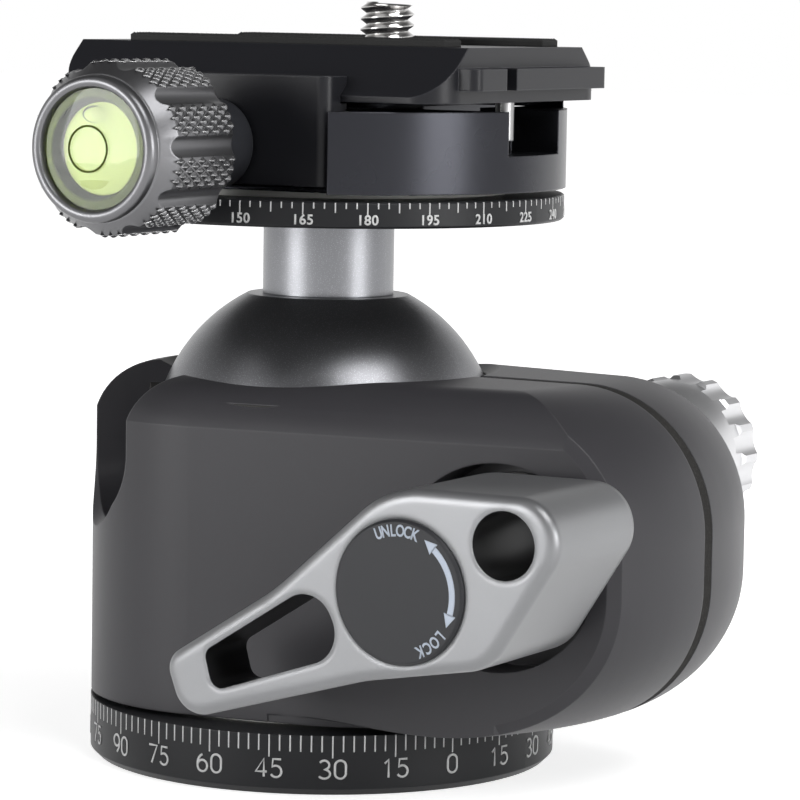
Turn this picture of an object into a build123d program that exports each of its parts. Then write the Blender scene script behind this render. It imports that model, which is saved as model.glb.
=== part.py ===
"""Tripod ball head with a lever lock, a panning base, a panning clamp and a dovetail quick plate.

Frame: origin at the centre of the base's underside, +Z up, +X along the clamping nose, and -Y on the
side that carries the lever and the clamp knob.  All lengths are millimetres.
"""
from build123d import *
from math import atan2, cos, pi, radians, sin, sqrt
import os

# ---- shared fits -------------------------------------------------------------------------------
RUN = 0.05          # radial clearance of a running fit
GAP = 0.4           # gap between parts that move past each other without touching
SLOT_GAP = 0.2      # gap between sliding flat faces
BEYOND = 60.0       # reach of a cutter past every part

# ---- panning base ------------------------------------------------------------------------------
BASE_R = 28.04      # radius of the graduated ring
BASE_H = 7.0        # height of the base ring
BASE_EDGE = 0.8     # chamfer of the base's lower edge
SPINDLE_R = 12.0    # journal that the housing turns on
RETAINER_R = 15.0   # plate that keeps the housing on the journal
RETAINER_T = 1.0
TRIPOD_THREAD_R = 4.7625    # 3/8 inch thread
INSERT_R = 6.5
INSERT_H = 12.0
LINER_IN_R = 13.5   # sliding washer between base and housing
LINER_OUT_R = 21.5
GRIP_HOLE_R = 2.0           # blind holes in the underside, for a pin wrench
GRIP_HOLE_AT = 19.5
GRIP_HOLE_H = 2.5

# ---- ball --------------------------------------------------------------------------------------
BALL_R = 20.9
BALL_Z = 37.0       # height of the ball's centre
BALL_CAP = 2.4      # height cut off the ball for the stem's seat
BALL_FLAT_Z = BALL_Z + BALL_R - BALL_CAP
STEM_R = 7.85
STEM_TENON_R = 5.0
STEM_TENON_L = 11.0

# ---- housing -----------------------------------------------------------------------------------
HOUSING_R = 28.0
HOUSING_Z0 = BASE_H + 0.5
HOUSING_Z1 = 46.8
SHOULDER_Z = 41.2   # crisp line where the rounded shoulder starts
SHOULDER_IN = 7.6   # how far the shoulder arc runs in
BORE_R = BALL_R + 1.0       # bore that takes the ball seats
FLAT_WALL = 1.37    # thinnest wall between the bore and the front flat
FLAT_D = BORE_R + FLAT_WALL
FLAT_TILT = 8.0     # turn of the front flat, degrees
CORNER_R = 20.0     # blend between the flat and the round wall
NOSE_AXIS_X = 6.2   # vertical axis of the nose's turned surface
NOSE_X = 51.2       # end of the nose
NOSE_LOW_R = 17.0
NOSE_LOW_C = (NOSE_X - NOSE_LOW_R, HOUSING_Z0 + NOSE_LOW_R)
NOSE_TOP_R = 16.5
NOSE_TOP_C = (NOSE_X - NOSE_TOP_R, HOUSING_Z1 - NOSE_TOP_R)
NOSE_BAND = 1.1     # width of the bevel on the flat beside the nose
BAND_SLOPE = 2.0    # run of the bevel's wall for each unit of its depth
BAND_DEPTH = 3.0
BORE_TOP = 44.0
FLOOR_T = 5.8       # plate that closes the bore from below
LIP_R = BALL_R + 0.3        # spherical lip above the seats
MOUTH_BEVEL = 2.3
SLIT_W = 2.0
SLIT_X = 19.5
SEAL_RECESS = 0.1
SEAL_DEPTH = 3.0

# ---- drop notches ------------------------------------------------------------------------------
NOTCH_TURN = 48.0   # from the lever side towards -X, degrees
NOTCH_HALF = 8.2
NOTCH_BEVEL = 1.3

# ---- ball seats --------------------------------------------------------------------------------
CUP_R = BORE_R - 0.1        # outside of the floating cup
CUP_HOLE_R = 13.0
CUP_DROP = 9.6      # rim of the cup below the ball's centre
SEAT_Z = 37.5       # foot of the upper seats
SOCKET_TOP = 31.0   # top of the ring that carries the floating cup
PIT_R = 15.6        # clear well under the floating cup
FLOOR_SCREW_R = 1.25
FLOOR_SCREW_AT = 18.6       # pitch radius of the floor screws
FLOOR_SCREW_BITE = 2.5      # length of the floor screws in the socket ring

# ---- lever -------------------------------------------------------------------------------------
LEVER_X, LEVER_Z = 33.7, 27.4
LEVER_Y = -40.0     # front face
LEVER_T = 8.5       # thickness of the handle
LOBE_Y = -21.8      # back of the hub lobe
LOBE_X = 30.0       # the lobe lies to the right of this line
LEVER_ROUND = 1.2   # rounding of the front edges
LEVER_OUTLINE = [(3.1, 17.1, 2.4), (17.3, 26.1, 30.0), (31.6, 38.7, 12.0), (56.5, 38.8, 4.9),
                 (44.5, 19.9, 6.0), (29.0, 17.1, 20.0), (5.6, 10.3, 3.6)]
WINDOW_OUTLINE = [(8.7, 18.5, 1.3), (9.9, 14.1, 1.5), (27.0, 19.9, 3.6), (23.2, 27.7, 3.6)]
CAP_R = 7.95
CAP_PROUD = 0.5
CAP_SEAT = 2.0
HUB_R = 8.0
RECESS_R = 11.85
RECESS_Y = -13.0
WASHER_T = 0.4
BOLT_R = 3.0
BOLT_HEAD_R = 5.0
BOLT_HEAD_H = 4.0
BOLT_END_Y = -27.0          # front end of the bolt
HUB_BORE_Y = -28.0          # front end of the hub's thread
LEVER_HOLE = (46.2, 33.5, 3.75)     # x, z and radius of the round hole

# ---- friction knob (far side) -------------------------------------------------------------------
FRICTION_X, FRICTION_Z = 31.4, 35.4
FRICTION_BELL = 10.8        # length of the knob's bell and of its rim
FRICTION_RIM = 4.5
FRICTION_Y0 = FLAT_D - 3.0
FRICTION_Y1 = FRICTION_Y0 + FRICTION_BELL
FRICTION_Y2 = FRICTION_Y1 + FRICTION_RIM
FRICTION_R0, FRICTION_R1, FRICTION_R2 = 6.0, 9.3, 9.7
FRICTION_FLUTES = 16
FRICTION_FLUTE_R = 2.0
FRICTION_FLUTE_DEPTH = 0.75
FRICTION_SCREW_R = 2.5
ANCHOR_R = 4.5
ANCHOR_Y0, ANCHOR_Y1 = -10.0, -4.0

# ---- pan lock knob (far side) --------------------------------------------------------------------
PAN_KNOB_X, PAN_KNOB_Z = 4.0, 10.6
PAN_KNOB_R = 5.5
PAN_NECK_R = 3.2
PAN_NECK_Y = FLAT_D + 0.93  # the knob's neck starts outside the wall
PAN_KNOB_L = 9.3
PAN_KNOB_Y0 = BASE_R + 1.16
PAN_KNOB_Y1 = PAN_KNOB_Y0 + PAN_KNOB_L
PAN_SCREW_R = 2.0
SHOE_R = 2.2
SHOE_L = 3.4

# ---- panning clamp --------------------------------------------------------------------------------
BODY_R = 28.25
PAN_R = BODY_R - 0.15       # the graduated ring stands just inside the clamp body
RING_Z0, RING_Z1 = 64.95, 68.0
GROOVE = 0.75
BODY_Z0 = RING_Z1 + GROOVE
BODY_Z1 = 78.1
TOP_JOURNAL_R = 8.0
TOP_WASHER_R = 11.0
TOP_WASHER_T = 1.0
TOP_LINER_R = 21.5
CHANNEL_Y0, CHANNEL_Y1 = -6.1, 6.1
CHANNEL_X = 21.3
CHANNEL_Z0 = 73.0
VENT_X0, VENT_X1 = 8.2, 17.0     # window under the fixed jaw
VENT_Z0, VENT_Z1 = 76.2, 78.1

# ---- jaw and clamp knob ------------------------------------------------------------------------
KNOB_X = -1.2
KNOB_Z = 74.0
JAW_HALF = 14.65
JAW_SIDE = 0.85     # gap beside the jaw
JAW_CORNER = 1.4
JAW_Y0, JAW_Y1 = -23.0, -17.6
JAW_Z0, JAW_Z1 = 69.5, 82.0
JAW_LEDGE = 1.5     # the seat's floor stops this far behind the jaw's front
FIXED_JAW_IN = 2.6  # the fixed jaw's lip reaches this far over the plate
KNOB_R = 9.75
KNOB_Y0, KNOB_Y1 = -48.6, -34.0
KNOB_FLUTES = 10
FLUTE_R = 2.2
FLUTE_DEPTH = 0.75
RIM_R = 7.75        # lip round the level
RIM_L = 3.2
RIM_GROOVE_R = 7.4
WINDOW_R = 6.65
COLLAR_R = 5.2
COLLAR_Y = -23.6
SCREW_R = 3.0
SCREW_END = -12.0
GUIDE_R = 1.5
GUIDE_X = 9.5

# ---- quick plate -------------------------------------------------------------------------------
PLATE_X0, PLATE_X1 = -26.3, 26.4
PLATE_Z0, PLATE_Z1 = 79.1, 85.4
PLATE_HALF = 20.0
PLATE_TOP_HALF = 13.9
PLATE_STRIP = 0.7
PLATE_CORNER = 4.5
PAD_H = 1.0
PAD_X0, PAD_X1 = -19.6, 23.2
PAD_Y0, PAD_Y1 = 9.9, 13.7
BAR_X = 28.9
BAR_HALF = 16.0
BAR_Z0, BAR_Z1 = 80.6, 83.1
BAR_CORNER = 1.2
BAR_NOTCH = (-9.2, -6.8)
STOP_R = 1.1
STOP_X = 24.2
STOP_Y = -1.0
STOP_Z = 74.6
CAMERA_X = 7.65
CAMERA_R = 3.175    # 1/4 inch thread
CAMERA_TOP = 90.7
CAMERA_NECK_R = 2.5
CAMERA_NECK_TOP = 85.7      # the thread starts just above the plate
CAMERA_HEAD_R = 6.5
CAMERA_HEAD_T = 2.2
CAMERA_HEAD_Z = 79.9


def tube(r, z0, z1, x=0.0, y=0.0):
    """Upright cylinder between two heights."""
    return Pos(x, y, (z0 + z1) / 2) * Cylinder(r, z1 - z0)


def across(r, y0, y1, x, z):
    """Cylinder along Y between two stations."""
    return Pos(x, (y0 + y1) / 2, z) * Rot(90, 0, 0) * Cylinder(r, abs(y1 - y0))


def block(x0, x1, y0, y1, z0, z1):
    """Box between limits."""
    return Pos((x0 + x1) / 2, (y0 + y1) / 2, (z0 + z1) / 2) * Box(x1 - x0, y1 - y0, z1 - z0)


def turned_y(profile, x, z):
    """Solid of revolution about the line (x, z) along Y, from (radius, y) points."""
    face = make_face(Polyline(*[(r, y, 0) for r, y in profile], close=True))
    return Pos(x, 0, z) * revolve(face, Axis.Y)


def turned_z(profile):
    """Solid of revolution about Z, from (radius, z) points."""
    face = make_face(Polyline(*[(r, 0, z) for r, z in profile], close=True))
    return revolve(face, Axis.Z)


def along_y(edges, y0, y1):
    """Closed outline in the XZ plane, stretched from y0 to y1."""
    face = make_face(edges)
    return extrude(Pos(0, y0, 0) * face, amount=y1 - y0, dir=(0, 1, 0))


def rounded_xz(points):
    """Closed outline in XZ from (x, z, corner radius) points."""
    corners = [(x, 0, z) for x, z, _ in points]
    radii = [r for _, _, r in points]
    return FilletPolyline(*corners, radius=radii, close=True)


# ---- housing -----------------------------------------------------------------------------------
def corner_centre():
    """Centre of the corner arc, tangent to the flat and inside the round wall."""
    reach = HOUSING_R - CORNER_R
    off = FLAT_D - CORNER_R
    along = sqrt(reach ** 2 - off ** 2)
    tilt = radians(FLAT_TILT)
    return off * sin(tilt) - along * cos(tilt), -(off * cos(tilt) + along * sin(tilt))


def teardrop(grow, x_end):
    """Plan outline of the housing, grown outwards and closed by a straight line at x_end."""
    tilt = radians(FLAT_TILT)
    cx, cy = corner_centre()
    flat = (cx + (CORNER_R + grow) * sin(tilt), cy - (CORNER_R + grow) * cos(tilt))
    end = (x_end, -((FLAT_D + grow) - x_end * sin(tilt)) / cos(tilt))
    reach = (HOUSING_R + grow) / (HOUSING_R - CORNER_R)
    wall = (cx * reach, cy * reach)
    blend = atan2(wall[1] - cy, wall[0] - cx)
    turn = (blend + atan2(flat[1] - cy, flat[0] - cx)) / 2 + (pi if blend > 0 else 0)
    mid = (cx + (CORNER_R + grow) * cos(turn), cy + (CORNER_R + grow) * sin(turn))
    near = ThreePointArc(flat, mid, wall)
    back = ThreePointArc(wall, (-(HOUSING_R + grow), 0), (wall[0], -wall[1]))
    far = ThreePointArc((wall[0], -wall[1]), (mid[0], -mid[1]), (flat[0], -flat[1]))
    sides = [Line(end, flat), Line((flat[0], -flat[1]), (end[0], -end[1]))]
    return make_face([sides[0], near, back, far, sides[1], Line((end[0], -end[1]), end)])


def shoulder_radius():
    """Radius of the shoulder arc through the crisp line and tangent to the top."""
    rise = HOUSING_Z1 - SHOULDER_Z
    return (SHOULDER_IN ** 2 + rise ** 2) / (2 * rise)


def nose_tool():
    """Turned surface that rounds the nose, with the whole width left of its axis."""
    r_flat = flat_reach()
    low_c, top_c = NOSE_LOW_C[0] - NOSE_AXIS_X, NOSE_TOP_C[0] - NOSE_AXIS_X
    low_z = NOSE_LOW_C[1] - sqrt(NOSE_LOW_R ** 2 - (r_flat - low_c) ** 2)
    top_z = NOSE_TOP_C[1] + NOSE_TOP_R
    end = NOSE_X - NOSE_AXIS_X
    half = sin(radians(45))
    low_mid = (low_c + NOSE_LOW_R * half, 0, NOSE_LOW_C[1] - NOSE_LOW_R * half)
    top_mid = (top_c + NOSE_TOP_R * half, 0, NOSE_TOP_C[1] + NOSE_TOP_R * half)
    edges = [
        Line((0, 0, HOUSING_Z0), (r_flat, 0, HOUSING_Z0)),
        Line((r_flat, 0, HOUSING_Z0), (r_flat, 0, low_z)),
        ThreePointArc((r_flat, 0, low_z), low_mid, (end, 0, NOSE_LOW_C[1])),
        Line((end, 0, NOSE_LOW_C[1]), (end, 0, NOSE_TOP_C[1])),
        ThreePointArc((end, 0, NOSE_TOP_C[1]), top_mid, (top_c, 0, top_z)),
        Line((top_c, 0, top_z), (0, 0, top_z)),
        Line((0, 0, top_z), (0, 0, HOUSING_Z0)),
    ]
    turned = Pos(NOSE_AXIS_X, 0, 0) * revolve(make_face(edges), Axis.Z)
    span = 2 * HOUSING_R
    left = block(-span, NOSE_AXIS_X, -span, span, HOUSING_Z0, HOUSING_Z1)
    return left + turned


def nose_radius(z):
    """Radius of the nose's turned surface at a height."""
    low_c, top_c = NOSE_LOW_C[0] - NOSE_AXIS_X, NOSE_TOP_C[0] - NOSE_AXIS_X
    if z < NOSE_LOW_C[1]:
        return low_c + sqrt(NOSE_LOW_R ** 2 - (NOSE_LOW_C[1] - z) ** 2)
    if z > NOSE_TOP_C[1]:
        return top_c + sqrt(NOSE_TOP_R ** 2 - (z - NOSE_TOP_C[1]) ** 2)
    return NOSE_X - NOSE_AXIS_X


def flat_reach():
    """Distance of the front flat from the nose's axis."""
    return FLAT_D - NOSE_AXIS_X * sin(radians(FLAT_TILT))


def band_curve(out):
    """Edge of the flat on the nose, moved outwards, as (distance along the flat, height) points."""
    count = 12
    low, high = HOUSING_Z0 + 1.0, HOUSING_Z1 - 1.5
    heights = [(low + high) / 2 - (high - low) / 2 * cos(pi * i / count) for i in range(count + 1)]
    edge = [(sqrt(nose_radius(z) ** 2 - flat_reach() ** 2), z) for z in heights]
    moved = []
    for i, (c, z) in enumerate(edge):
        a, b = edge[max(i - 1, 0)], edge[min(i + 1, count)]
        size = sqrt((b[0] - a[0]) ** 2 + (b[1] - a[1]) ** 2)
        moved.append((c + out * (b[1] - a[1]) / size, z - out * (b[0] - a[0]) / size))
    return moved


def band_cut():
    """Cutter of the bevel between the near flat and the nose."""
    faces = []
    for depth in (-1.0, BAND_DEPTH):
        curve = Spline(*[(c, z, 0) for c, z in band_curve(depth * BAND_SLOPE - NOSE_BAND)])
        foot, top = curve @ 0, curve @ 1
        sides = Polyline((top.X, top.Y), (top.X, BEYOND), (-BEYOND, BEYOND), (-BEYOND, -BEYOND),
                         (foot.X, -BEYOND), (foot.X, foot.Y))
        faces.append(Pos(0, 0, -depth) * make_face([curve, sides]).face())
    keep = loft(faces, ruled=True)
    slab = block(-BEYOND / 6, BEYOND, -BEYOND, BEYOND, -BAND_DEPTH, 1.0)
    tilt = radians(FLAT_TILT)
    foot = (NOSE_AXIS_X + flat_reach() * sin(tilt), -flat_reach() * cos(tilt), 0)
    place = Plane(origin=foot, x_dir=(cos(tilt), sin(tilt), 0), z_dir=(sin(tilt), -cos(tilt), 0))
    return place * (slab - keep)


def housing_blank():
    """Outer form of the housing, before any hole is cut."""
    radius = shoulder_radius()
    grow = radius - SHOULDER_IN
    height = HOUSING_Z1 - HOUSING_Z0
    beyond = NOSE_X + CORNER_R
    grown = extrude(Pos(0, 0, HOUSING_Z0) * teardrop(grow, beyond), amount=height)
    top = [e for e in grown.edges().filter_by_position(Axis.Z, HOUSING_Z1, HOUSING_Z1)
           if e.center().X < beyond - 1]
    grown = fillet(top, radius)
    exact = extrude(Pos(0, 0, HOUSING_Z0) * teardrop(0, beyond), amount=height)
    bevel = band_cut()
    return (grown & exact & nose_tool()) - bevel - mirror(bevel, Plane.XZ)


def notch_cut():
    """Upright slot for the stem along +X, round at its foot, bevelled where it leaves the wall."""
    reach = HOUSING_R + 8
    slot = Pos(reach / 2, 0, BALL_Z) * Rot(0, 90, 0) * Cylinder(NOTCH_HALF, reach)
    slot += block(0, reach, -NOTCH_HALF, NOTCH_HALF, BALL_Z, HOUSING_Z1 + 1)
    inner, outer = NOTCH_HALF, NOTCH_HALF + 2 * NOTCH_BEVEL
    start, end = HOUSING_R - NOTCH_BEVEL, HOUSING_R + NOTCH_BEVEL
    slot += Pos(HOUSING_R, 0, BALL_Z) * Rot(0, 90, 0) * Cone(inner, outer, 2 * NOTCH_BEVEL)
    wedge = make_face(Polyline((start, -inner), (end, -outer), (end, outer), (start, inner), close=True))
    return slot + extrude(Pos(0, 0, BALL_Z) * wedge, amount=HOUSING_Z1 + 1 - BALL_Z)


def notches():
    """Both drop notches, one on the lever's side and its mirror image on the far side."""
    slot = notch_cut()
    return [Rot(0, 0, side * (90 + NOTCH_TURN)) * slot for side in (-1, 1)]


def lever_bore():
    """Recess for the lever's hub and the bolt's way through both halves."""
    cut = across(RECESS_R, -3 * BORE_R, RECESS_Y, LEVER_X, LEVER_Z)
    cut += across(BOLT_R + RUN, -BORE_R, 2 * BORE_R, LEVER_X, LEVER_Z)
    cut += across(BOLT_HEAD_R + RUN, bolt_head_y(), 2 * BORE_R, LEVER_X, LEVER_Z)
    return cut


def flat_y(x):
    """Distance of the near flat from the middle plane at a station x."""
    tilt = radians(FLAT_TILT)
    return (FLAT_D - x * sin(tilt)) / cos(tilt)


def bolt_head_y():
    """Seat of the tension bolt's head in the far half."""
    return flat_y(LEVER_X) - BOLT_HEAD_H - 1.0


def friction_bore():
    """Way through both halves for the friction screw, with the pocket of its anchor."""
    cut = across(FRICTION_SCREW_R + RUN, ANCHOR_Y0 - 1, 2 * BORE_R, FRICTION_X, FRICTION_Z)
    cut += across(ANCHOR_R, ANCHOR_Y0, -SLIT_W / 2, FRICTION_X, FRICTION_Z)
    return cut


def housing():
    """Split housing with bore, mouth, notches, slit, lever recess and cross bores."""
    body = housing_blank()
    body -= tube(BORE_R, HOUSING_Z0 - 1, BORE_TOP)
    body -= Pos(0, 0, BALL_Z) * Sphere(LIP_R)
    mouth_z = HOUSING_Z1 - MOUTH_BEVEL
    mouth_r = sqrt(LIP_R ** 2 - (mouth_z + 1.6 - BALL_Z) ** 2)
    body -= turned_z([(0, mouth_z), (mouth_r, mouth_z), (mouth_r, mouth_z + 1.3),
                      (mouth_r + MOUTH_BEVEL + 1, HOUSING_Z1 + 1), (0, HOUSING_Z1 + 1)])
    for cut in notches():
        body -= cut
    body -= block(SLIT_X, NOSE_X + 5, -SLIT_W / 2, SLIT_W / 2, HOUSING_Z0 - 1, HOUSING_Z1 + 1)
    body -= lever_bore()
    body -= friction_bore()
    body -= across(PAN_SCREW_R + RUN, BORE_R - 2, 2 * BORE_R, PAN_KNOB_X, PAN_KNOB_Z)
    return body


def slit_seal():
    """Foam strip that fills the outer edge of the slit round the nose."""
    half = SLIT_W / 2
    sheet = block(BORE_R + 1.0, NOSE_X + 1, -half, half, HOUSING_Z0, HOUSING_Z1)

    def nose(recess):
        low_c, top_c = NOSE_LOW_C, NOSE_TOP_C
        low, top, end = NOSE_LOW_R - recess, NOSE_TOP_R - recess, NOSE_X - recess
        turn = sin(radians(45))
        edges = [
            Line((0, 0, low_c[1] - low), (low_c[0], 0, low_c[1] - low)),
            ThreePointArc((low_c[0], 0, low_c[1] - low),
                          (low_c[0] + low * turn, 0, low_c[1] - low * turn), (end, 0, low_c[1])),
            Line((end, 0, low_c[1]), (end, 0, top_c[1])),
            ThreePointArc((end, 0, top_c[1]), (top_c[0] + top * turn, 0, top_c[1] + top * turn),
                          (top_c[0], 0, top_c[1] + top)),
            Line((top_c[0], 0, top_c[1] + top), (0, 0, top_c[1] + top)),
            Line((0, 0, top_c[1] + top), (0, 0, low_c[1] - low)),
        ]
        return along_y(edges, -SLIT_W, SLIT_W)

    return sheet & (nose(SEAL_RECESS) - nose(SEAL_RECESS + SEAL_DEPTH))


def housing_floor():
    """Plate that closes the housing's bore and turns on the base's journal."""
    floor = tube(BORE_R, HOUSING_Z0, HOUSING_Z0 + FLOOR_T)
    floor -= tube(SPINDLE_R + RUN, HOUSING_Z0 - 1, HOUSING_Z0 + FLOOR_T + 1)
    floor -= across(SHOE_R, SPINDLE_R - 2, 2 * BORE_R, PAN_KNOB_X, PAN_KNOB_Z)
    for hole in floor_screw_places():
        floor -= hole * tube(FLOOR_SCREW_R, HOUSING_Z0 - 1, HOUSING_Z0 + FLOOR_T + 1)
    return floor


def floor_screw_places():
    """Places of the screws that hold the floor to the cup socket."""
    return [Rot(0, 0, 60 * i) * Pos(FLOOR_SCREW_AT, 0, 0) for i in range(6)]


def floor_screws():
    """Six screws through the floor."""
    shank = tube(FLOOR_SCREW_R, HOUSING_Z0 + 0.5, HOUSING_Z0 + FLOOR_T + FLOOR_SCREW_BITE)
    return [hole * shank for hole in floor_screw_places()]


def cup_socket():
    """Ring with the spherical seat that the floating cup lies in."""
    z0 = HOUSING_Z0 + FLOOR_T
    ring = tube(BORE_R, z0, SOCKET_TOP)
    ring -= Pos(0, 0, BALL_Z) * Sphere(CUP_R + RUN)
    ring -= tube(PIT_R, z0 - 1, BALL_Z)
    for hole in floor_screw_places():
        ring -= hole * tube(FLOOR_SCREW_R, z0 - 1, z0 + FLOOR_SCREW_BITE)
    for cut in notches():
        ring -= cut
    return ring


def upper_seats():
    """Three spherical shoes above the ball, parted by the notches and the slit."""
    ring = tube(BORE_R, SEAT_Z, BORE_TOP)
    ring -= Pos(0, 0, BALL_Z) * Sphere(BALL_R + RUN)
    for cut in notches():
        ring -= cut
    ring -= block(0, BORE_R + 5, -SLIT_W / 2, SLIT_W / 2, SEAT_Z - 1, BORE_TOP + 1)
    parts = sorted(ring.solids(), key=lambda s: s.center().Y)
    return {"upper_seat_near": parts[0], "upper_seat_rear": parts[1], "upper_seat_far": parts[2]}


def floating_cup():
    """Loose cup between the ball and its socket."""
    cup = Pos(0, 0, BALL_Z) * Sphere(CUP_R) - Pos(0, 0, BALL_Z) * Sphere(BALL_R + RUN)
    rim = BALL_Z - CUP_DROP
    keep = tube(2 * CUP_R, 0, rim) - tube(CUP_HOLE_R, -1, rim + 1)
    return cup & keep


# ---- base --------------------------------------------------------------------------------------
def pan_base():
    """Graduated base with the journal that the head turns on."""
    top = HOUSING_Z0 + FLOOR_T
    base = turned_z([
        (0, 0), (BASE_R - BASE_EDGE, 0), (BASE_R, BASE_EDGE), (BASE_R, BASE_H), (SPINDLE_R, BASE_H),
        (SPINDLE_R, top), (0, top)])
    base -= tube(INSERT_R, -1, INSERT_H)
    for hole in retainer_places():
        base -= hole * tube(1.0, top - 5, top + 1)
    for turn in (0, 120, 240):
        base -= Rot(0, 0, turn + 15) * Pos(GRIP_HOLE_AT, 0, 0) * tube(GRIP_HOLE_R, -1, GRIP_HOLE_H)
    return base


def thread_insert():
    """Steel insert with the tripod thread."""
    return tube(INSERT_R, 0, INSERT_H) - tube(TRIPOD_THREAD_R, -1, INSERT_H + 1)


def pan_washer():
    """Sliding washer between the base and the housing's floor."""
    return tube(LINER_OUT_R, BASE_H, HOUSING_Z0) - tube(LINER_IN_R, BASE_H - 1, HOUSING_Z0 + 1)


def retainer_places():
    """Places of the retaining plate's screws."""
    return [Rot(0, 0, 90 + 120 * i) * Pos(9.0, 0, 0) for i in range(3)]


def retainer():
    """Plate screwed to the journal that keeps the housing down."""
    z0 = HOUSING_Z0 + FLOOR_T
    plate = tube(RETAINER_R, z0, z0 + RETAINER_T) - tube(4.0, z0 - 1, z0 + RETAINER_T + 1)
    for hole in retainer_places():
        plate -= hole * tube(1.0, z0 - 1, z0 + RETAINER_T + 1)
    return plate


def retainer_screws():
    """Three screws of the retaining plate."""
    z0 = HOUSING_Z0 + FLOOR_T
    screw = tube(1.0, z0 - 4.5, z0 + RETAINER_T) + tube(1.8, z0 + RETAINER_T, z0 + RETAINER_T + 0.6)
    return [hole * screw for hole in retainer_places()]


# ---- lever ---------------------------------------------------------------------------------------
def lever():
    """Lever with its handle, window, round hole and the lobe round the bolt."""
    back = LEVER_Y + LEVER_T
    plate = along_y(rounded_xz(LEVER_OUTLINE), LEVER_Y, LOBE_Y)
    front = plate.faces().sort_by(Axis.Y)[0]
    plate = fillet(front.edges(), LEVER_ROUND)
    plate -= block(-BEYOND, LOBE_X, back, 0, 0, BEYOND)
    plate -= along_y(rounded_xz(WINDOW_OUTLINE), LEVER_Y - 1, back + 1)
    x, z, r = LEVER_HOLE
    plate -= across(r, LEVER_Y - 1, LOBE_Y + 1, x, z)
    plate -= across(CAP_R, LEVER_Y - 1, LEVER_Y + CAP_SEAT, LEVER_X, LEVER_Z)
    plate -= across(HUB_R - 2.0, LEVER_Y, LOBE_Y + 1, LEVER_X, LEVER_Z)
    return plate


def lever_hub():
    """Threaded hub nut fixed in the lever that runs on the tension bolt."""
    hub = across(HUB_R, LOBE_Y, RECESS_Y - WASHER_T, LEVER_X, LEVER_Z)
    hub += across(HUB_R - 2.0, LEVER_Y + CAP_SEAT, LOBE_Y, LEVER_X, LEVER_Z)
    return hub - across(BOLT_R + RUN, HUB_BORE_Y, RECESS_Y + 1, LEVER_X, LEVER_Z)


def lever_cap():
    """Black cap in the lever's face."""
    cap = across(CAP_R, LEVER_Y - CAP_PROUD, LEVER_Y + CAP_SEAT, LEVER_X, LEVER_Z)
    return chamfer(cap.faces().sort_by(Axis.Y)[0].edges(), 0.3)


def tension_bolt():
    """Bolt that draws the two halves of the nose together."""
    seat = bolt_head_y()
    bolt = across(BOLT_R, BOLT_END_Y, seat + 0.01, LEVER_X, LEVER_Z)
    head = across(BOLT_HEAD_R, seat, seat + BOLT_HEAD_H, LEVER_X, LEVER_Z)
    socket = Pos(LEVER_X, seat + BOLT_HEAD_H, LEVER_Z) * Rot(90, 0, 0) * extrude(
        RegularPolygon(2.9, 6), amount=2.4, both=True)
    return bolt + (head - socket)


def thrust_washer():
    """Brass washer on the floor of the lever's recess."""
    ring = across(RECESS_R - 1.5, RECESS_Y - WASHER_T, RECESS_Y, LEVER_X, LEVER_Z)
    return ring - across(BOLT_R + RUN, -BORE_R, 0, LEVER_X, LEVER_Z)


# ---- friction knob and pan lock --------------------------------------------------------------------
def friction_knob():
    """Bell-shaped knob that sets the least grip on the ball."""
    bell = ThreePointArc((FRICTION_R0, FRICTION_Y0, 0), (FRICTION_R1 - 0.9, FRICTION_Y0 + 5.0, 0),
                         (FRICTION_R1, FRICTION_Y1, 0))
    rim = Polyline((FRICTION_R1, FRICTION_Y1, 0), (FRICTION_R2, FRICTION_Y1 + 0.4, 0),
                   (FRICTION_R2, FRICTION_Y2 - 0.8, 0), (FRICTION_R2 - 0.8, FRICTION_Y2, 0),
                   (0, FRICTION_Y2, 0), (0, FRICTION_Y0, 0), (FRICTION_R0, FRICTION_Y0, 0))
    knob = Pos(FRICTION_X, 0, FRICTION_Z) * revolve(make_face([bell, rim]), Axis.Y)
    reach = FRICTION_R2 + FRICTION_FLUTE_R - FRICTION_FLUTE_DEPTH
    for i in range(FRICTION_FLUTES):
        turn = 2 * pi * (i + 0.5) / FRICTION_FLUTES
        knob -= across(FRICTION_FLUTE_R, FRICTION_Y1 - 1.5, FRICTION_Y2 + 1, FRICTION_X + reach * cos(turn),
                       FRICTION_Z + reach * sin(turn))
    return knob - across(FRICTION_SCREW_R, FRICTION_Y0 - 1, FRICTION_Y1, FRICTION_X, FRICTION_Z)


def friction_screw():
    """Screw of the friction knob, threaded into the anchor in the near half."""
    return across(FRICTION_SCREW_R, ANCHOR_Y0 + 0.5, FRICTION_Y1, FRICTION_X, FRICTION_Z)


def friction_anchor():
    """Anchor nut in the near half of the nose."""
    nut = across(ANCHOR_R, ANCHOR_Y0, ANCHOR_Y1, FRICTION_X, FRICTION_Z)
    return nut - across(FRICTION_SCREW_R + RUN, ANCHOR_Y0 - 1, ANCHOR_Y1 + 1, FRICTION_X, FRICTION_Z)


def pan_knob():
    """Knob of the pan lock."""
    knob = turned_y([(0, PAN_NECK_Y), (PAN_NECK_R, PAN_NECK_Y), (PAN_NECK_R, PAN_KNOB_Y0 - 0.8),
                     (PAN_KNOB_R, PAN_KNOB_Y0), (PAN_KNOB_R, PAN_KNOB_Y1 - 0.6),
                     (PAN_KNOB_R - 0.6, PAN_KNOB_Y1), (0, PAN_KNOB_Y1)], PAN_KNOB_X, PAN_KNOB_Z)
    for i in range(8):
        turn = radians(45 * i)
        reach = PAN_KNOB_R + 0.4
        knob -= across(1.0, PAN_KNOB_Y0 - 1, PAN_KNOB_Y1 + 1, PAN_KNOB_X + reach * cos(turn),
                       PAN_KNOB_Z + reach * sin(turn))
    return knob - across(PAN_SCREW_R, PAN_NECK_Y - 1, PAN_KNOB_Y0, PAN_KNOB_X, PAN_KNOB_Z)


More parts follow.
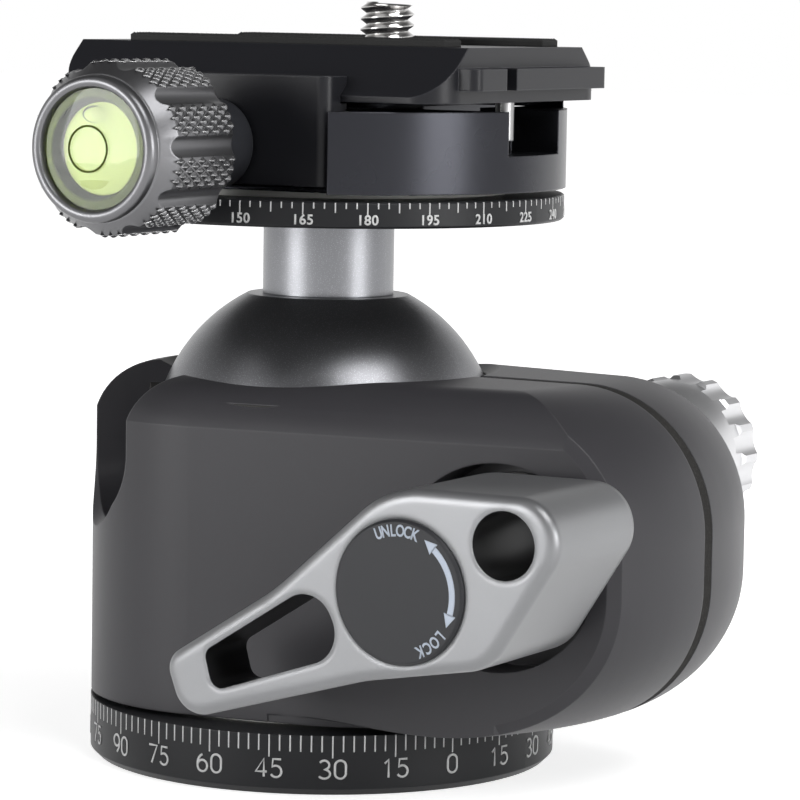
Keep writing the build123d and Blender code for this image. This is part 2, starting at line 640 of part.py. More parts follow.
def pan_screw():
    """Screw that presses the brake shoe on the journal."""
    return across(PAN_SCREW_R, SPINDLE_R + SHOE_L, PAN_KNOB_Y0, PAN_KNOB_X, PAN_KNOB_Z)


def brake_shoe():
    """Nylon plug between the pan screw and the journal."""
    shoe = across(SHOE_R, SPINDLE_R - 2, SPINDLE_R + SHOE_L, PAN_KNOB_X, PAN_KNOB_Z)
    return shoe - tube(SPINDLE_R + RUN, 0, BALL_Z)


# ---- ball, stem and top pan -----------------------------------------------------------------------
def ball():
    """Ball with the flat and the hole for the stem's tenon."""
    body = Pos(0, 0, BALL_Z) * Sphere(BALL_R)
    body -= tube(2 * BALL_R, BALL_FLAT_Z, BALL_Z + 2 * BALL_R)
    return body - tube(STEM_TENON_R, BALL_FLAT_Z - STEM_TENON_L - 0.5, BALL_FLAT_Z + 1)


def stem():
    """Stem, its tenon in the ball and the journal of the clamp."""
    return turned_z([
        (0, BALL_FLAT_Z - STEM_TENON_L), (STEM_TENON_R, BALL_FLAT_Z - STEM_TENON_L),
        (STEM_TENON_R, BALL_FLAT_Z), (STEM_R, BALL_FLAT_Z), (STEM_R, RING_Z0), (TOP_JOURNAL_R, RING_Z0),
        (TOP_JOURNAL_R, pocket_z()), (0, pocket_z())])


def pocket_z():
    """Height of the pocket floor under the retaining washer."""
    return BODY_Z1 - 2 * TOP_WASHER_T


def pan_ring():
    """Graduated ring fixed on the stem."""
    ring = tube(PAN_R, RING_Z0, RING_Z1) - tube(TOP_JOURNAL_R, RING_Z0 - 1, RING_Z1 + 1)
    outer = [e for e in ring.edges().filter_by(GeomType.CIRCLE) if e.radius > PAN_R - 1]
    return chamfer(outer, 0.25)


def top_washer():
    """Washer screwed on the stem that keeps the clamp down."""
    ring = tube(TOP_WASHER_R, pocket_z(), pocket_z() + TOP_WASHER_T)
    return ring - tube(2.5, pocket_z() - 1, BODY_Z1)


def top_screw():
    """Flat screw through the retaining washer into the stem."""
    return tube(2.5, pocket_z(), pocket_z() + TOP_WASHER_T) + tube(
        4.0, pocket_z() + TOP_WASHER_T, BODY_Z1 - 0.4)


def top_liner():
    """Sliding washer in the groove between the ring and the clamp."""
    return tube(TOP_LINER_R, RING_Z1, BODY_Z0) - tube(TOP_JOURNAL_R + 1, RING_Z1 - 1, BODY_Z0 + 1)


def plate_section(gap):
    """Dovetail section of the quick plate in YZ, grown by a gap."""
    half, top = PLATE_HALF + gap, PLATE_TOP_HALF + gap
    z0, z1 = PLATE_Z0 - gap, PLATE_Z1
    strip = PLATE_Z0 + PLATE_STRIP
    return Polyline((0, -half, z0), (0, half, z0), (0, half, strip), (0, top, z1), (0, -top, z1),
                    (0, -half, strip), close=True)


def dovetail(gap):
    """Long bar of the plate's section, for cutting the jaws."""
    face = make_face(plate_section(gap))
    return extrude(Pos(-BEYOND, 0, 0) * face, amount=2 * BEYOND, dir=(1, 0, 0))


def clamp_body():
    """Round clamp body with its fixed jaw, end channels and the seat of the moving jaw."""
    rim = JAW_Z1
    body = tube(BODY_R, BODY_Z0, rim)
    body -= block(-BEYOND, BEYOND, -BEYOND, PLATE_HALF - FIXED_JAW_IN, BODY_Z1, rim + 1)
    body -= dovetail(SLOT_GAP)
    jaw = JAW_HALF + JAW_SIDE
    body -= block(KNOB_X - jaw, KNOB_X + jaw, -BEYOND, JAW_Y1, JAW_Z0 - SLOT_GAP, rim + 1)
    body -= block(KNOB_X - jaw, KNOB_X + jaw, -BEYOND, JAW_Y0 + JAW_LEDGE, BODY_Z0 - 1, BODY_Z1 + 1)
    for x0, x1 in ((CHANNEL_X, BEYOND), (-BEYOND, -CHANNEL_X)):
        body -= block(x0, x1, CHANNEL_Y0, CHANNEL_Y1, CHANNEL_Z0, rim + 1)
    body -= block(VENT_X0, VENT_X1, CHANNEL_Y1, BEYOND, VENT_Z0, VENT_Z1)
    body -= block(0, CHANNEL_X + 1, CHANNEL_Y0, CHANNEL_Y1, VENT_Z0, rim + 1)
    body -= tube(TOP_JOURNAL_R + RUN, BODY_Z0 - 1, BODY_Z1)
    body -= tube(TOP_WASHER_R + GAP, pocket_z(), BODY_Z1 + 1)
    body -= across(SCREW_R + RUN, -BEYOND, SCREW_END + 0.5, KNOB_X, KNOB_Z)
    for x in (KNOB_X - GUIDE_X, KNOB_X + GUIDE_X):
        body -= across(GUIDE_R, -BEYOND, SCREW_END, x, KNOB_Z)
    return body


def guide_pins():
    """Two pins that keep the moving jaw square."""
    return [across(GUIDE_R, JAW_Y0 + 1.0, SCREW_END, x, KNOB_Z)
            for x in (KNOB_X - GUIDE_X, KNOB_X + GUIDE_X)]


def clamp_jaw():
    """Moving jaw with the dovetail groove."""
    jaw = block(KNOB_X - JAW_HALF, KNOB_X + JAW_HALF, JAW_Y0, JAW_Y1 - SLOT_GAP, JAW_Z0, JAW_Z1)
    jaw = fillet(jaw.edges().filter_by(Axis.Z), JAW_CORNER)
    jaw -= dovetail(SLOT_GAP)
    jaw -= across(SCREW_R + RUN, -BEYOND, 0, KNOB_X, KNOB_Z)
    for x in (KNOB_X - GUIDE_X, KNOB_X + GUIDE_X):
        jaw -= across(GUIDE_R + RUN, JAW_Y0 + 0.8, 0, x, KNOB_Z)
    return jaw


# ---- clamp knob ------------------------------------------------------------------------------------
def clamp_knob():
    """Fluted grip of the clamp knob."""
    grip = turned_y([(0, KNOB_Y0 + RIM_L), (KNOB_R - 0.4, KNOB_Y0 + RIM_L), (KNOB_R, KNOB_Y0 + RIM_L + 0.4),
                     (KNOB_R, KNOB_Y1 - 0.8), (KNOB_R - 0.8, KNOB_Y1), (0, KNOB_Y1)], KNOB_X, KNOB_Z)
    for i in range(KNOB_FLUTES):
        turn = 2 * pi * i / KNOB_FLUTES
        reach = KNOB_R + FLUTE_R - FLUTE_DEPTH
        grip -= across(FLUTE_R, KNOB_Y0, KNOB_Y1 + 1, KNOB_X + reach * cos(turn), KNOB_Z + reach * sin(turn))
    grip -= across(WINDOW_R + 0.6, KNOB_Y0, KNOB_Y0 + 8.0, KNOB_X, KNOB_Z)
    return grip - across(SCREW_R, KNOB_Y1 - 4, KNOB_Y1 + 1, KNOB_X, KNOB_Z)


def clamp_rim():
    """Bright front collar that holds the level."""
    rim = turned_y([(0, KNOB_Y0), (RIM_R - 0.5, KNOB_Y0), (RIM_R, KNOB_Y0 + 0.5), (RIM_R, KNOB_Y0 + 1.0),
                    (RIM_GROOVE_R, KNOB_Y0 + 1.2), (RIM_GROOVE_R, KNOB_Y0 + 1.6), (RIM_R + 0.3, KNOB_Y0 + 1.7),
                    (KNOB_R - 0.6, KNOB_Y0 + RIM_L), (0, KNOB_Y0 + RIM_L)], KNOB_X, KNOB_Z)
    rim -= across(WINDOW_R, KNOB_Y0 - 1, KNOB_Y1, KNOB_X, KNOB_Z)
    return rim


def bubble_level():
    """Round spirit level in the knob's face."""
    return across(WINDOW_R, KNOB_Y0 + 0.7, KNOB_Y0 + 8.0, KNOB_X, KNOB_Z)


def clamp_collar():
    """Dark collar between the knob and the jaw."""
    collar = across(COLLAR_R, KNOB_Y1, COLLAR_Y, KNOB_X, KNOB_Z)
    return collar - across(SCREW_R, KNOB_Y1 - 1, COLLAR_Y + 1, KNOB_X, KNOB_Z)


def clamp_screw():
    """Screw of the clamp knob."""
    return across(SCREW_R, KNOB_Y1 - 4, SCREW_END, KNOB_X, KNOB_Z)


# ---- quick plate ----------------------------------------------------------------------------------
def strap_bar():
    """Strap bar proud of the plate's end, with a notch between two bosses."""
    bar = block(PLATE_X1 - 1, BAR_X, -BAR_HALF, BAR_HALF, BAR_Z0, BAR_Z1)
    corners = [e for e in bar.edges().filter_by(Axis.Z) if e.center().X > PLATE_X1]
    bar = fillet(corners, BAR_CORNER)
    return bar - block(PLATE_X1, BAR_X + 1, *BAR_NOTCH, BAR_Z0 - 1, BAR_Z1 + 1)


def quick_plate():
    """Dovetail quick plate with the strap bar and the seat of the camera screw."""
    plate = extrude(Pos(PLATE_X0, 0, 0) * make_face(plate_section(0)), amount=PLATE_X1 - PLATE_X0,
                    dir=(1, 0, 0))
    middle = (PLATE_X0 + PLATE_X1) / 2
    rounded = Pos(middle, 0, PLATE_Z0) * extrude(
        RectangleRounded(PLATE_X1 - PLATE_X0, 2 * PLATE_HALF, PLATE_CORNER), amount=PLATE_Z1 - PLATE_Z0)
    plate &= rounded
    plate += strap_bar()
    seat_top = CAMERA_HEAD_Z + CAMERA_HEAD_T
    plate -= tube(CAMERA_HEAD_R + 0.3, PLATE_Z0 - 1, seat_top, CAMERA_X)
    plate -= tube(CAMERA_R + GAP, PLATE_Z0, PLATE_Z1 + 1, CAMERA_X)
    for x in (-STOP_X, STOP_X):
        plate -= tube(STOP_R, STOP_Z, PLATE_Z0 + 3, x, STOP_Y)
    return plate


def pad(side):
    """Rubber strip on the plate."""
    y0, y1 = sorted((side * PAD_Y0, side * PAD_Y1))
    strip = block(PAD_X0, PAD_X1, y0, y1, PLATE_Z1, PLATE_Z1 + PAD_H)
    return fillet(strip.edges().filter_by(Axis.Z), 0.8)


def stop_pins():
    """Pins under the plate that keep it from sliding out of the clamp."""
    return [tube(STOP_R, STOP_Z, PLATE_Z0 + 3, x, STOP_Y) for x in (-STOP_X, STOP_X)]


def camera_screw():
    """Camera screw with its slotted head under the plate."""
    screw = tube(CAMERA_R, CAMERA_NECK_TOP, CAMERA_TOP, CAMERA_X)
    screw = chamfer(screw.faces().sort_by(Axis.Z)[-1].edges(), 0.6)
    screw += tube(CAMERA_NECK_R, CAMERA_HEAD_Z, CAMERA_NECK_TOP, CAMERA_X)
    head = tube(CAMERA_HEAD_R, CAMERA_HEAD_Z, CAMERA_HEAD_Z + CAMERA_HEAD_T, CAMERA_X)
    slot = block(CAMERA_X - 4, CAMERA_X + 4, -0.8, 0.8, CAMERA_HEAD_Z - 1, CAMERA_HEAD_Z + 1.1)
    return screw + head - slot


def write(name, shape):
    """Write one node; a list is a group of separate solids."""
    if isinstance(shape, (list, tuple)):
        shape = Compound(children=[Part(s.wrapped) if not isinstance(s, Solid) else s
                                   for item in shape for s in item.solids()])
    elif len(shape.solids()) == 1:
        shape = shape.solids()[0]
    export_step(shape, f"parts/{name}.step")


def main():
    """Build every node."""
    os.makedirs("parts", exist_ok=True)
    nodes = {
        "pan_base": pan_base(), "thread_insert": thread_insert(), "pan_washer": pan_washer(),
        "pan_retainer": retainer(), "retainer_screws": retainer_screws(),
        "housing": housing(), "housing_floor": housing_floor(), "floor_screws": floor_screws(),
        "cup_socket": cup_socket(), "slit_seal": slit_seal(), "floating_cup": floating_cup(),
        "tension_bolt": tension_bolt(), "thrust_washer": thrust_washer(),
        "friction_anchor": friction_anchor(), "brake_shoe": brake_shoe(),
        "lever": lever(), "lever_hub": lever_hub(), "lever_cap": lever_cap(),
        "friction_knob": friction_knob(), "friction_screw": friction_screw(),
        "pan_knob": pan_knob(), "pan_screw": pan_screw(),
        "ball": ball(), "stem": stem(), "pan_ring": pan_ring(),
        "top_washer": top_washer(), "top_screw": top_screw(), "top_liner": top_liner(),
        "clamp_body": clamp_body(), "guide_pins": guide_pins(), "clamp_jaw": clamp_jaw(),
        "clamp_knob": clamp_knob(), "clamp_rim": clamp_rim(), "bubble_level": bubble_level(),
        "clamp_collar": clamp_collar(), "clamp_screw": clamp_screw(),
        "quick_plate": quick_plate(), "pad_near": pad(-1), "pad_far": pad(1),
        "stop_pins": stop_pins(), "camera_screw": camera_screw(),
    }
    nodes.update(upper_seats())
    for name, shape in nodes.items():
        write(name, shape)


main()
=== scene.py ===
"""Looks of a tripod ball head: finishes, graduations, knurling, threads, rubber and studio."""
import logging
from dataclasses import dataclass
from enum import Enum
from functools import cache
from math import cos, hypot, pi, radians, sin
from typing import ClassVar, Optional, Sequence

import bpy
from mathutils import Matrix, Vector


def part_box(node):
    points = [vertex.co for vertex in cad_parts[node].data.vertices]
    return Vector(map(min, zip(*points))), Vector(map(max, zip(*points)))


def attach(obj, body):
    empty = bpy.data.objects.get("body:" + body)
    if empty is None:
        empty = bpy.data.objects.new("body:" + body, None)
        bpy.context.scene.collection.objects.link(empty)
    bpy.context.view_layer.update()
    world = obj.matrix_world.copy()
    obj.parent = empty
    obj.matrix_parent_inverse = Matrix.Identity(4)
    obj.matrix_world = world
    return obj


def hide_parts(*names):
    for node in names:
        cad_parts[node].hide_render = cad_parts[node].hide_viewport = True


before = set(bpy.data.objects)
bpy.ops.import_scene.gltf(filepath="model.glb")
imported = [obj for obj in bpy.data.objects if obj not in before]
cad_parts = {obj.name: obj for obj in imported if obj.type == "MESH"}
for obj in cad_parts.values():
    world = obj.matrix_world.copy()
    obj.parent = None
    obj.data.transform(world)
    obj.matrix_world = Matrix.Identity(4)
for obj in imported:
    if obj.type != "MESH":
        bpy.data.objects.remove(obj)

MM = 0.001
WELD = 1e-7
CAPITAL = 0.69
LOG = logging.getLogger("ball_head")
Object = bpy.types.Object
Material = bpy.types.Material
Socket = bpy.types.NodeSocket
Pair = tuple[float, float]
Point = tuple[float, float, float]
Colour = Point
Profile = Sequence[Pair]


# ---- workbench: modelling by operators ----
def clear_selection() -> None:
    """Leave edit mode and deselect everything."""
    if bpy.context.object and bpy.context.object.mode != "OBJECT":
        bpy.ops.object.mode_set(mode="OBJECT")
    bpy.ops.object.select_all(action="DESELECT")


def pick(obj: Object) -> None:
    """Make one object the only selected and active one.

    Args:
        obj: object to work on.
    """
    clear_selection()
    obj.select_set(True)
    bpy.context.view_layer.objects.active = obj


def edit(obj: Object, select: str = "SELECT") -> None:
    """Open an object in edit mode.

    Args:
        obj: mesh to open.
        select: SELECT or DESELECT, which all of the mesh gets.
    """
    pick(obj)
    bpy.ops.object.mode_set(mode="EDIT")
    bpy.ops.mesh.select_all(action=select)


def leave_edit() -> None:
    """Go back to object mode."""
    bpy.ops.object.mode_set(mode="OBJECT")


def settle(obj: Object) -> Object:
    """Put an object's place, turn and size into its mesh.

    Args:
        obj: object to settle.

    Returns:
        The same object.
    """
    pick(obj)
    bpy.ops.object.transform_apply(location=True, rotation=True, scale=True)
    return obj


def move(obj: Object, matrix: Matrix) -> Object:
    """Place an object by a matrix and settle it."""
    obj.matrix_world = matrix @ obj.matrix_world
    return settle(obj)


def named(name: str) -> Object:
    """Name the active object and its mesh.

    Args:
        name: name for both.

    Returns:
        The active object.
    """
    obj = bpy.context.object
    obj.name = name
    obj.data.name = name
    return obj


def weld(obj: Object) -> None:
    """Merge doubled points and turn all faces outwards.

    Args:
        obj: closed mesh.
    """
    edit(obj)
    bpy.ops.mesh.remove_doubles(threshold=WELD)
    bpy.ops.mesh.normals_make_consistent(inside=False)
    leave_edit()


def smooth(obj: Object, angle: float = 30.0) -> None:
    """Shade an object smooth up to an edge angle in degrees."""
    pick(obj)
    bpy.ops.object.shade_smooth_by_angle(angle=radians(angle))


def chain(name: str, points: Sequence[Point]) -> Object:
    """Draw a chain of points by extruding one point from place to place.

    Args:
        name: name of the new object.
        points: places in metres.

    Returns:
        A mesh of edges only.
    """
    clear_selection()
    bpy.ops.mesh.primitive_plane_add(size=MM, location=(0, 0, 0))
    obj = named(name)
    edit(obj)
    bpy.ops.mesh.merge(type="CENTER")
    bpy.ops.transform.translate(value=points[0])
    for a, b in zip(points, points[1:]):
        step = tuple(q - p for p, q in zip(a, b))
        bpy.ops.mesh.extrude_region_move(TRANSFORM_OT_translate={"value": step})
    leave_edit()
    return obj


class Axis(Enum):
    """Direction that a turned piece points along."""

    UP = "up"
    REAR = "rear"


def aim(obj: Object, axis: Axis, centre: Point) -> None:
    """Turn an upright piece to its axis, move it to its centre and settle it.

    Args:
        obj: piece made about the upright axis at the origin.
        axis: direction that the piece's height runs along.
        centre: place of the piece's origin, in metres.
    """
    if axis is Axis.REAR:
        obj.rotation_euler = (radians(-90), 0, 0)
    obj.location = centre
    settle(obj)


def turn(name: str, profile: Profile, axis: Axis = Axis.UP, centre: Point = (0, 0, 0),
         steps: int = 96) -> Object:
    """Spin a profile into a turned piece.

    Args:
        name: name of the piece.
        profile: (radius, height) points in millimetres.
        axis: direction of the height.
        centre: origin of the profile in metres.
        steps: sides of the round.

    Returns:
        The closed turned piece.
    """
    obj = chain(name, [(r * MM, 0.0, h * MM) for r, h in profile])
    edit(obj)
    bpy.ops.mesh.spin(steps=steps, angle=2 * pi, center=(0, 0, 0), axis=(0, 0, 1))
    leave_edit()
    weld(obj)
    aim(obj, axis, centre)
    smooth(obj)
    return obj


def repeat_round(obj: Object, count: int, span: Optional[float] = None) -> None:
    """Repeat a mesh about the upright axis through the origin.

    Args:
        obj: mesh to repeat.
        count: number of pieces with the first one.
        span: angle from the first to the last in radians, or None to go all the way round.
    """
    if span is None:
        span = 2 * pi * (count - 1) / count
    edit(obj)
    bpy.ops.mesh.spin(dupli=True, steps=count - 1, angle=span, center=(0, 0, 0), axis=(0, 0, 1))
    leave_edit()


def trim(obj: Object, height: float, above: bool = True) -> None:
    """Cut a piece level and close the cut.

    Args:
        obj: piece to cut.
        height: height of the cut in millimetres.
        above: whether what is above the cut goes, and not what is below it.
    """
    edit(obj)
    bpy.ops.mesh.bisect(
        plane_co=(0, 0, height * MM), plane_no=(0, 0, 1), use_fill=True, clear_outer=above,
        clear_inner=not above)
    leave_edit()


def bar(name: str, size: Point, centre: Point, round_off: float) -> Object:
    """Model a small bar with rounded edges.

    Args:
        name: name of the bar.
        size: length along X, Y and Z in millimetres.
        centre: middle of the bar in millimetres.
        round_off: width of the rounding in millimetres.

    Returns:
        The settled bar.
    """
    clear_selection()
    bpy.ops.mesh.primitive_cube_add(size=1, location=[c * MM for c in centre])
    obj = named(name)
    obj.scale = [c * MM for c in size]
    settle(obj)
    edit(obj)
    bpy.ops.mesh.bevel(offset=round_off * MM, segments=2, affect="EDGES")
    leave_edit()
    return obj


def lettering(text: str, height: float, thick: float, bold: float, narrow: float = 1.0,
              spacing: float = 1.0, facets: int = 4) -> Object:
    """Set a text upright with its face to the front and make it a thin solid.

    Args:
        text: what is written.
        height: height of a capital in millimetres.
        thick: half of the solid's thickness in millimetres.
        bold: how far the outline grows in millimetres.
        narrow: width as a share of the plain width.
        spacing: distance between letters as a share of the plain one.
        facets: chords in each curve of the outline.

    Returns:
        The settled text, centred on the origin.
    """
    clear_selection()
    bpy.ops.object.text_add(location=(0, 0, 0), rotation=(radians(90), 0, 0))
    type_set = bpy.context.object.data
    type_set.body, type_set.align_x = text, "CENTER"
    type_set.size = height / CAPITAL * MM
    type_set.extrude, type_set.offset = thick * MM, bold * MM
    type_set.space_character, type_set.resolution_u = spacing, facets
    bpy.ops.object.convert(target="MESH")
    label = bpy.context.object
    label.scale = (narrow, 1.0, 1.0)
    return settle(label)


def apply_modifier(obj: Object, kind: str, **values: object) -> None:
    """Add a modifier and apply it.

    Args:
        obj: object to change.
        kind: type of the modifier.
        **values: its settings by name.
    """
    pick(obj)
    mod = obj.modifiers.new("work", kind)
    for key, value in values.items():
        setattr(mod, key, value)
    bpy.ops.object.modifier_apply(modifier=mod.name)


def cut_with(obj: Object, tool: Object, how: str = "DIFFERENCE") -> Object:
    """Cut one solid with another and throw the tool away.

    Args:
        obj: solid to cut.
        tool: solid that cuts.
        how: DIFFERENCE or INTERSECT.

    Returns:
        The cut solid.
    """
    apply_modifier(obj, "BOOLEAN", operation=how, object=tool, solver="EXACT")
    bpy.data.objects.remove(tool)
    return obj


def cad_copy(name: str, node: str) -> Object:
    """Copy a fixed node's mesh into a new welded object.

    Args:
        name: name of the new piece.
        node: fixed node to copy.

    Returns:
        The welded copy.
    """
    pick(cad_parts[node])
    bpy.ops.object.duplicate()
    obj = named(name)
    obj.parent = None
    edit(obj)
    bpy.ops.mesh.remove_doubles(threshold=WELD)
    leave_edit()
    return obj


def join(name: str, parts: Sequence[Object]) -> Object:
    """Join several pieces into one.

    Args:
        name: name of the whole.
        parts: pieces, of which the first takes in the others.

    Returns:
        The whole.
    """
    clear_selection()
    for part in parts:
        part.select_set(True)
    bpy.context.view_layer.objects.active = parts[0]
    if len(parts) > 1:
        bpy.ops.object.join()
    return named(name)


def copy_at(obj: Object, matrix: Matrix) -> Object:
    """Copy a piece with its own mesh to another place.

    Args:
        obj: piece to copy.
        matrix: how the copy is moved.

    Returns:
        The settled copy.
    """
    pick(obj)
    bpy.ops.object.duplicate()
    return move(bpy.context.object, matrix)


# ---- finishes ----
class Graph:
    """Small helper that lays shader nodes and links."""

    def __init__(self, tree: bpy.types.NodeTree) -> None:
        """Keep the tree to draw in and empty it."""
        self.tree = tree
        tree.nodes.clear()

    def add(self, kind: str, inputs: Optional[dict[object, object]] = None,
            **values: object) -> bpy.types.Node:
        """Add a node.

        Args:
            kind: type of the node.
            inputs: a value or a socket for each input, by its name or number.
            **values: its other settings.

        Returns:
            The node.
        """
        node = self.tree.nodes.new(kind)
        for key, value in values.items():
            setattr(node, key, value)
        for key, value in (inputs or {}).items():
            if isinstance(value, Socket):
                self.tree.links.new(value, node.inputs[key])
            else:
                node.inputs[key].default_value = value
        return node

    def math(self, how: str, a: object, b: object) -> Socket:
        """Add a maths node on two sockets or numbers and return its result."""
        return self.add("ShaderNodeMath", {0: a, 1: b}, operation=how).outputs[0]

    def ramp(self, value: Socket, start: Pair, end: Pair, kind: str = "LINEAR") -> Socket:
        """Lead a value from one (value, result) pair to another, held beyond both.

        Args:
            value: socket to read.
            start: first pair.
            end: last pair.
            kind: how the result goes between them.

        Returns:
            The result.
        """
        ends = {"From Min": start[0], "From Max": end[0], "To Min": start[1], "To Max": end[1]}
        return self.add("ShaderNodeMapRange", {"Value": value, **ends}, interpolation_type=kind).outputs[0]


def blank_group(name: str, socket: str, value: float, outputs: dict[str, str]) -> Graph:
    """Start a node group with one number as its input.

    Args:
        name: name of the group.
        socket: name of the input.
        value: what the input is if nothing is set.
        outputs: kind of socket by name of output.

    Returns:
        The empty graph.
    """
    tree = bpy.data.node_groups.new(name, "ShaderNodeTree")
    tree.interface.new_socket(socket, in_out="INPUT", socket_type="NodeSocketFloat").default_value = value
    for out, kind in outputs.items():
        tree.interface.new_socket(out, in_out="OUTPUT", socket_type=kind)
    return Graph(tree)


@cache
def grain_group() -> bpy.types.NodeTree:
    """Blasted or cast grain: a fine height, a speck mask, which finishes use to paint the glints of the
    blast, and a slow unevenness.

    Returns:
        A node group with input Fineness, and outputs Height, Specks and Drift.
    """
    number = "NodeSocketFloat"
    g = blank_group("blast_grain", "Fineness", 6000.0, {"Height": number, "Specks": number, "Drift": number})
    fineness = g.add("NodeGroupInput").outputs[0]
    where = g.add("ShaderNodeTexCoord").outputs["Object"]
    fine = g.add("ShaderNodeTexNoise", {"Vector": where, "Scale": fineness, "Detail": 2.0, "Roughness": 0.7})
    cells = g.add("ShaderNodeTexVoronoi", {"Vector": where, "Scale": fineness})
    slow = g.add("ShaderNodeTexNoise", {"Vector": where, "Scale": 90.0, "Detail": 3.0})
    distance = cells.outputs["Distance"]
    height = g.math("ADD", fine.outputs["Fac"], g.math("MULTIPLY", distance, 0.5))
    specks = g.ramp(distance, (0.28, 0.0), (0.06, 1.0))
    g.add("NodeGroupOutput", {"Height": height, "Specks": specks, "Drift": slow.outputs["Fac"]})
    return g.tree


@cache
def edge_group() -> bpy.types.NodeTree:
    """Rounded edges: a mask that is 1 on sharp edges, along which finishes paint a highlight, and a normal
    that rounds them.

    Returns:
        A node group with input Width, and outputs Edge and Normal.
    """
    g = blank_group("edge_rounding_and_highlight", "Width", 0.0003, {"Edge": "NodeSocketFloat", "Normal": "NodeSocketVector"})
    rounded = g.add("ShaderNodeBevel", {"Radius": g.add("NodeGroupInput").outputs[0]}, samples=6).outputs[0]
    true = g.add("ShaderNodeNewGeometry").outputs["Normal"]
    dot = g.add("ShaderNodeVectorMath", {0: rounded, 1: true}, operation="DOT_PRODUCT").outputs["Value"]
    g.add("NodeGroupOutput", {"Edge": g.ramp(dot, (0.995, 0.0), (0.90, 1.0)), "Normal": rounded})
    return g.tree


def blank_material(name: str) -> tuple[Material, Graph]:
    """Start a material.

    Args:
        name: name of the material.

    Returns:
        The material and its empty graph.
    """
    mat = bpy.data.materials.new(name)
    mat.use_nodes = True
    return mat, Graph(mat.node_tree)


@dataclass(frozen=True)
class Finish:
    """A finish with grain, slow unevenness, rounded edges and a painted highlight along them; lengths are in
    metres.
    """

    name: str
    colour: Colour
    rough: float
    metal: float = 0.0
    fineness: float = 12000
    depth: float = 3e-6
    speck: float = 0.1
    drift: float = 0.03
    edge_colour: Optional[Colour] = None
    edge_width: float = 0.00025
    specular: float = 0.5
    SPECK_GAIN: ClassVar[float] = 2.2
    SPECK_LIFT: ClassVar[float] = 0.05
    DRIFT_GAIN: ClassVar[float] = 4
    DRIFT_TO_ROUGH: ClassVar[float] = 0.35
    WORN_COLOURED: ClassVar[float] = 0.5
    WORN_PLAIN: ClassVar[float] = 0.12

    @cache
    def material(self) -> Material:
        """Build the finish once.

        Returns:
            Its material.
        """
        mat, g = blank_material(self.name)
        grain = g.add("ShaderNodeGroup", {0: self.fineness}, node_tree=grain_group()).outputs
        edge = g.add("ShaderNodeGroup", {0: self.edge_width}, node_tree=edge_group()).outputs
        bump = g.add("ShaderNodeBump", {
            "Strength": 1.0, "Distance": self.depth, "Height": grain["Height"], "Normal": edge["Normal"]})
        # painted highlight: specks are lightened on top of the real grain to stand for the glints of a
        # blasted surface
        light = tuple(min(1.0, c * self.SPECK_GAIN + self.SPECK_LIFT) for c in self.colour)
        specks = g.add("ShaderNodeMix", {
            0: g.math("MULTIPLY", grain["Specks"], self.speck), 6: (*self.colour, 1), 7: (*light, 1)},
            data_type="RGBA")
        low = g.math("MULTIPLY", g.math("SUBTRACT", grain["Drift"], 0.5), self.drift * self.DRIFT_GAIN)
        value = g.math("ADD", low, 1.0)
        tone = g.add("ShaderNodeHueSaturation", {"Color": specks.outputs[2], "Value": value})
        # painted highlight: sharp edges are lightened towards the edge highlight colour, or towards the pale
        # speck colour
        share = self.WORN_COLOURED if self.edge_colour else self.WORN_PLAIN
        painted_edge_highlight = g.add("ShaderNodeMix", {
            0: g.math("MULTIPLY", edge["Edge"], share), 6: tone.outputs[0],
            7: (*(self.edge_colour or light), 1)}, data_type="RGBA")
        rough = g.math("ADD", g.math("MULTIPLY", low, self.DRIFT_TO_ROUGH), self.rough)
        skin = g.add("ShaderNodeBsdfPrincipled", {
            "Base Color": painted_edge_highlight.outputs[2], "Metallic": self.metal, "Specular IOR Level": self.specular,
            "Roughness": rough, "Normal": bump.outputs[0]})
        g.add("ShaderNodeOutputMaterial", {"Surface": skin.outputs[0]})
        return mat


# the edge colour of each finish below is a highlight painted along its sharp edges
BLACK_BODY = Finish(
    "black_blasted_body", (0.036, 0.035, 0.039), 0.42, depth=6e-6, speck=0.15,
    edge_colour=(0.11, 0.11, 0.115), specular=0.28)
BLACK_CLAMP = Finish(
    "black_satin_clamp", (0.011, 0.0112, 0.0138), 0.36, speck=0.08,
    edge_colour=(0.07, 0.07, 0.08), specular=0.22)
BLACK_RING = Finish(
    "black_satin_ring", (0.013, 0.0135, 0.015), 0.38, edge_colour=(0.05, 0.05, 0.055),
    specular=0.18)
CLAMP_SATIN = Finish(
    "clamp_body_satin", (0.03, 0.0307, 0.036), 0.27, 0.8, depth=2e-6, speck=0.08,
    edge_colour=(0.07, 0.07, 0.08), specular=0.2)
BALL_GREY = Finish("dark_blasted_ball", (0.18, 0.182, 0.192), 0.3, 0.9, 6500, 14e-6, 1.0, 0.04, specular=0.3)
SILVER_BLAST = Finish("silver_blasted", (0.2, 0.203, 0.214), 0.32, 0.9, 6500, 12e-6, 0.7, 0.04)
GREY_KNOB = Finish("grey_knob", (0.15, 0.15, 0.156), 0.33, 0.9, depth=2e-6, edge_colour=(0.3, 0.3, 0.31))
GREY_KNURL = Finish(
    "grey_knurl", (0.17, 0.17, 0.176), 0.26, 0.9, 9000, 2e-6, 0.05,
    edge_colour=(0.45, 0.45, 0.45))
LEVER_SATIN = Finish("lever_satin", (0.22, 0.223, 0.23), 0.34, 0.65, edge_width=0.001)
# painted shade: this dark finish stands for the shade inside the lever's window and hole
POCKET_SHADE = Finish("painted_pocket_shade", (0.02, 0.02, 0.021), 0.34, 0.4, depth=4e-6, specular=0.25)
CAP = Finish("dark_cap", (0.022, 0.0225, 0.0255), 0.42, 0.0, 9000, 4e-6, 0.05, 0.02, specular=0.25)
DARK_COLLAR = Finish("dark_collar", (0.05, 0.052, 0.06), 0.34, 0.6)
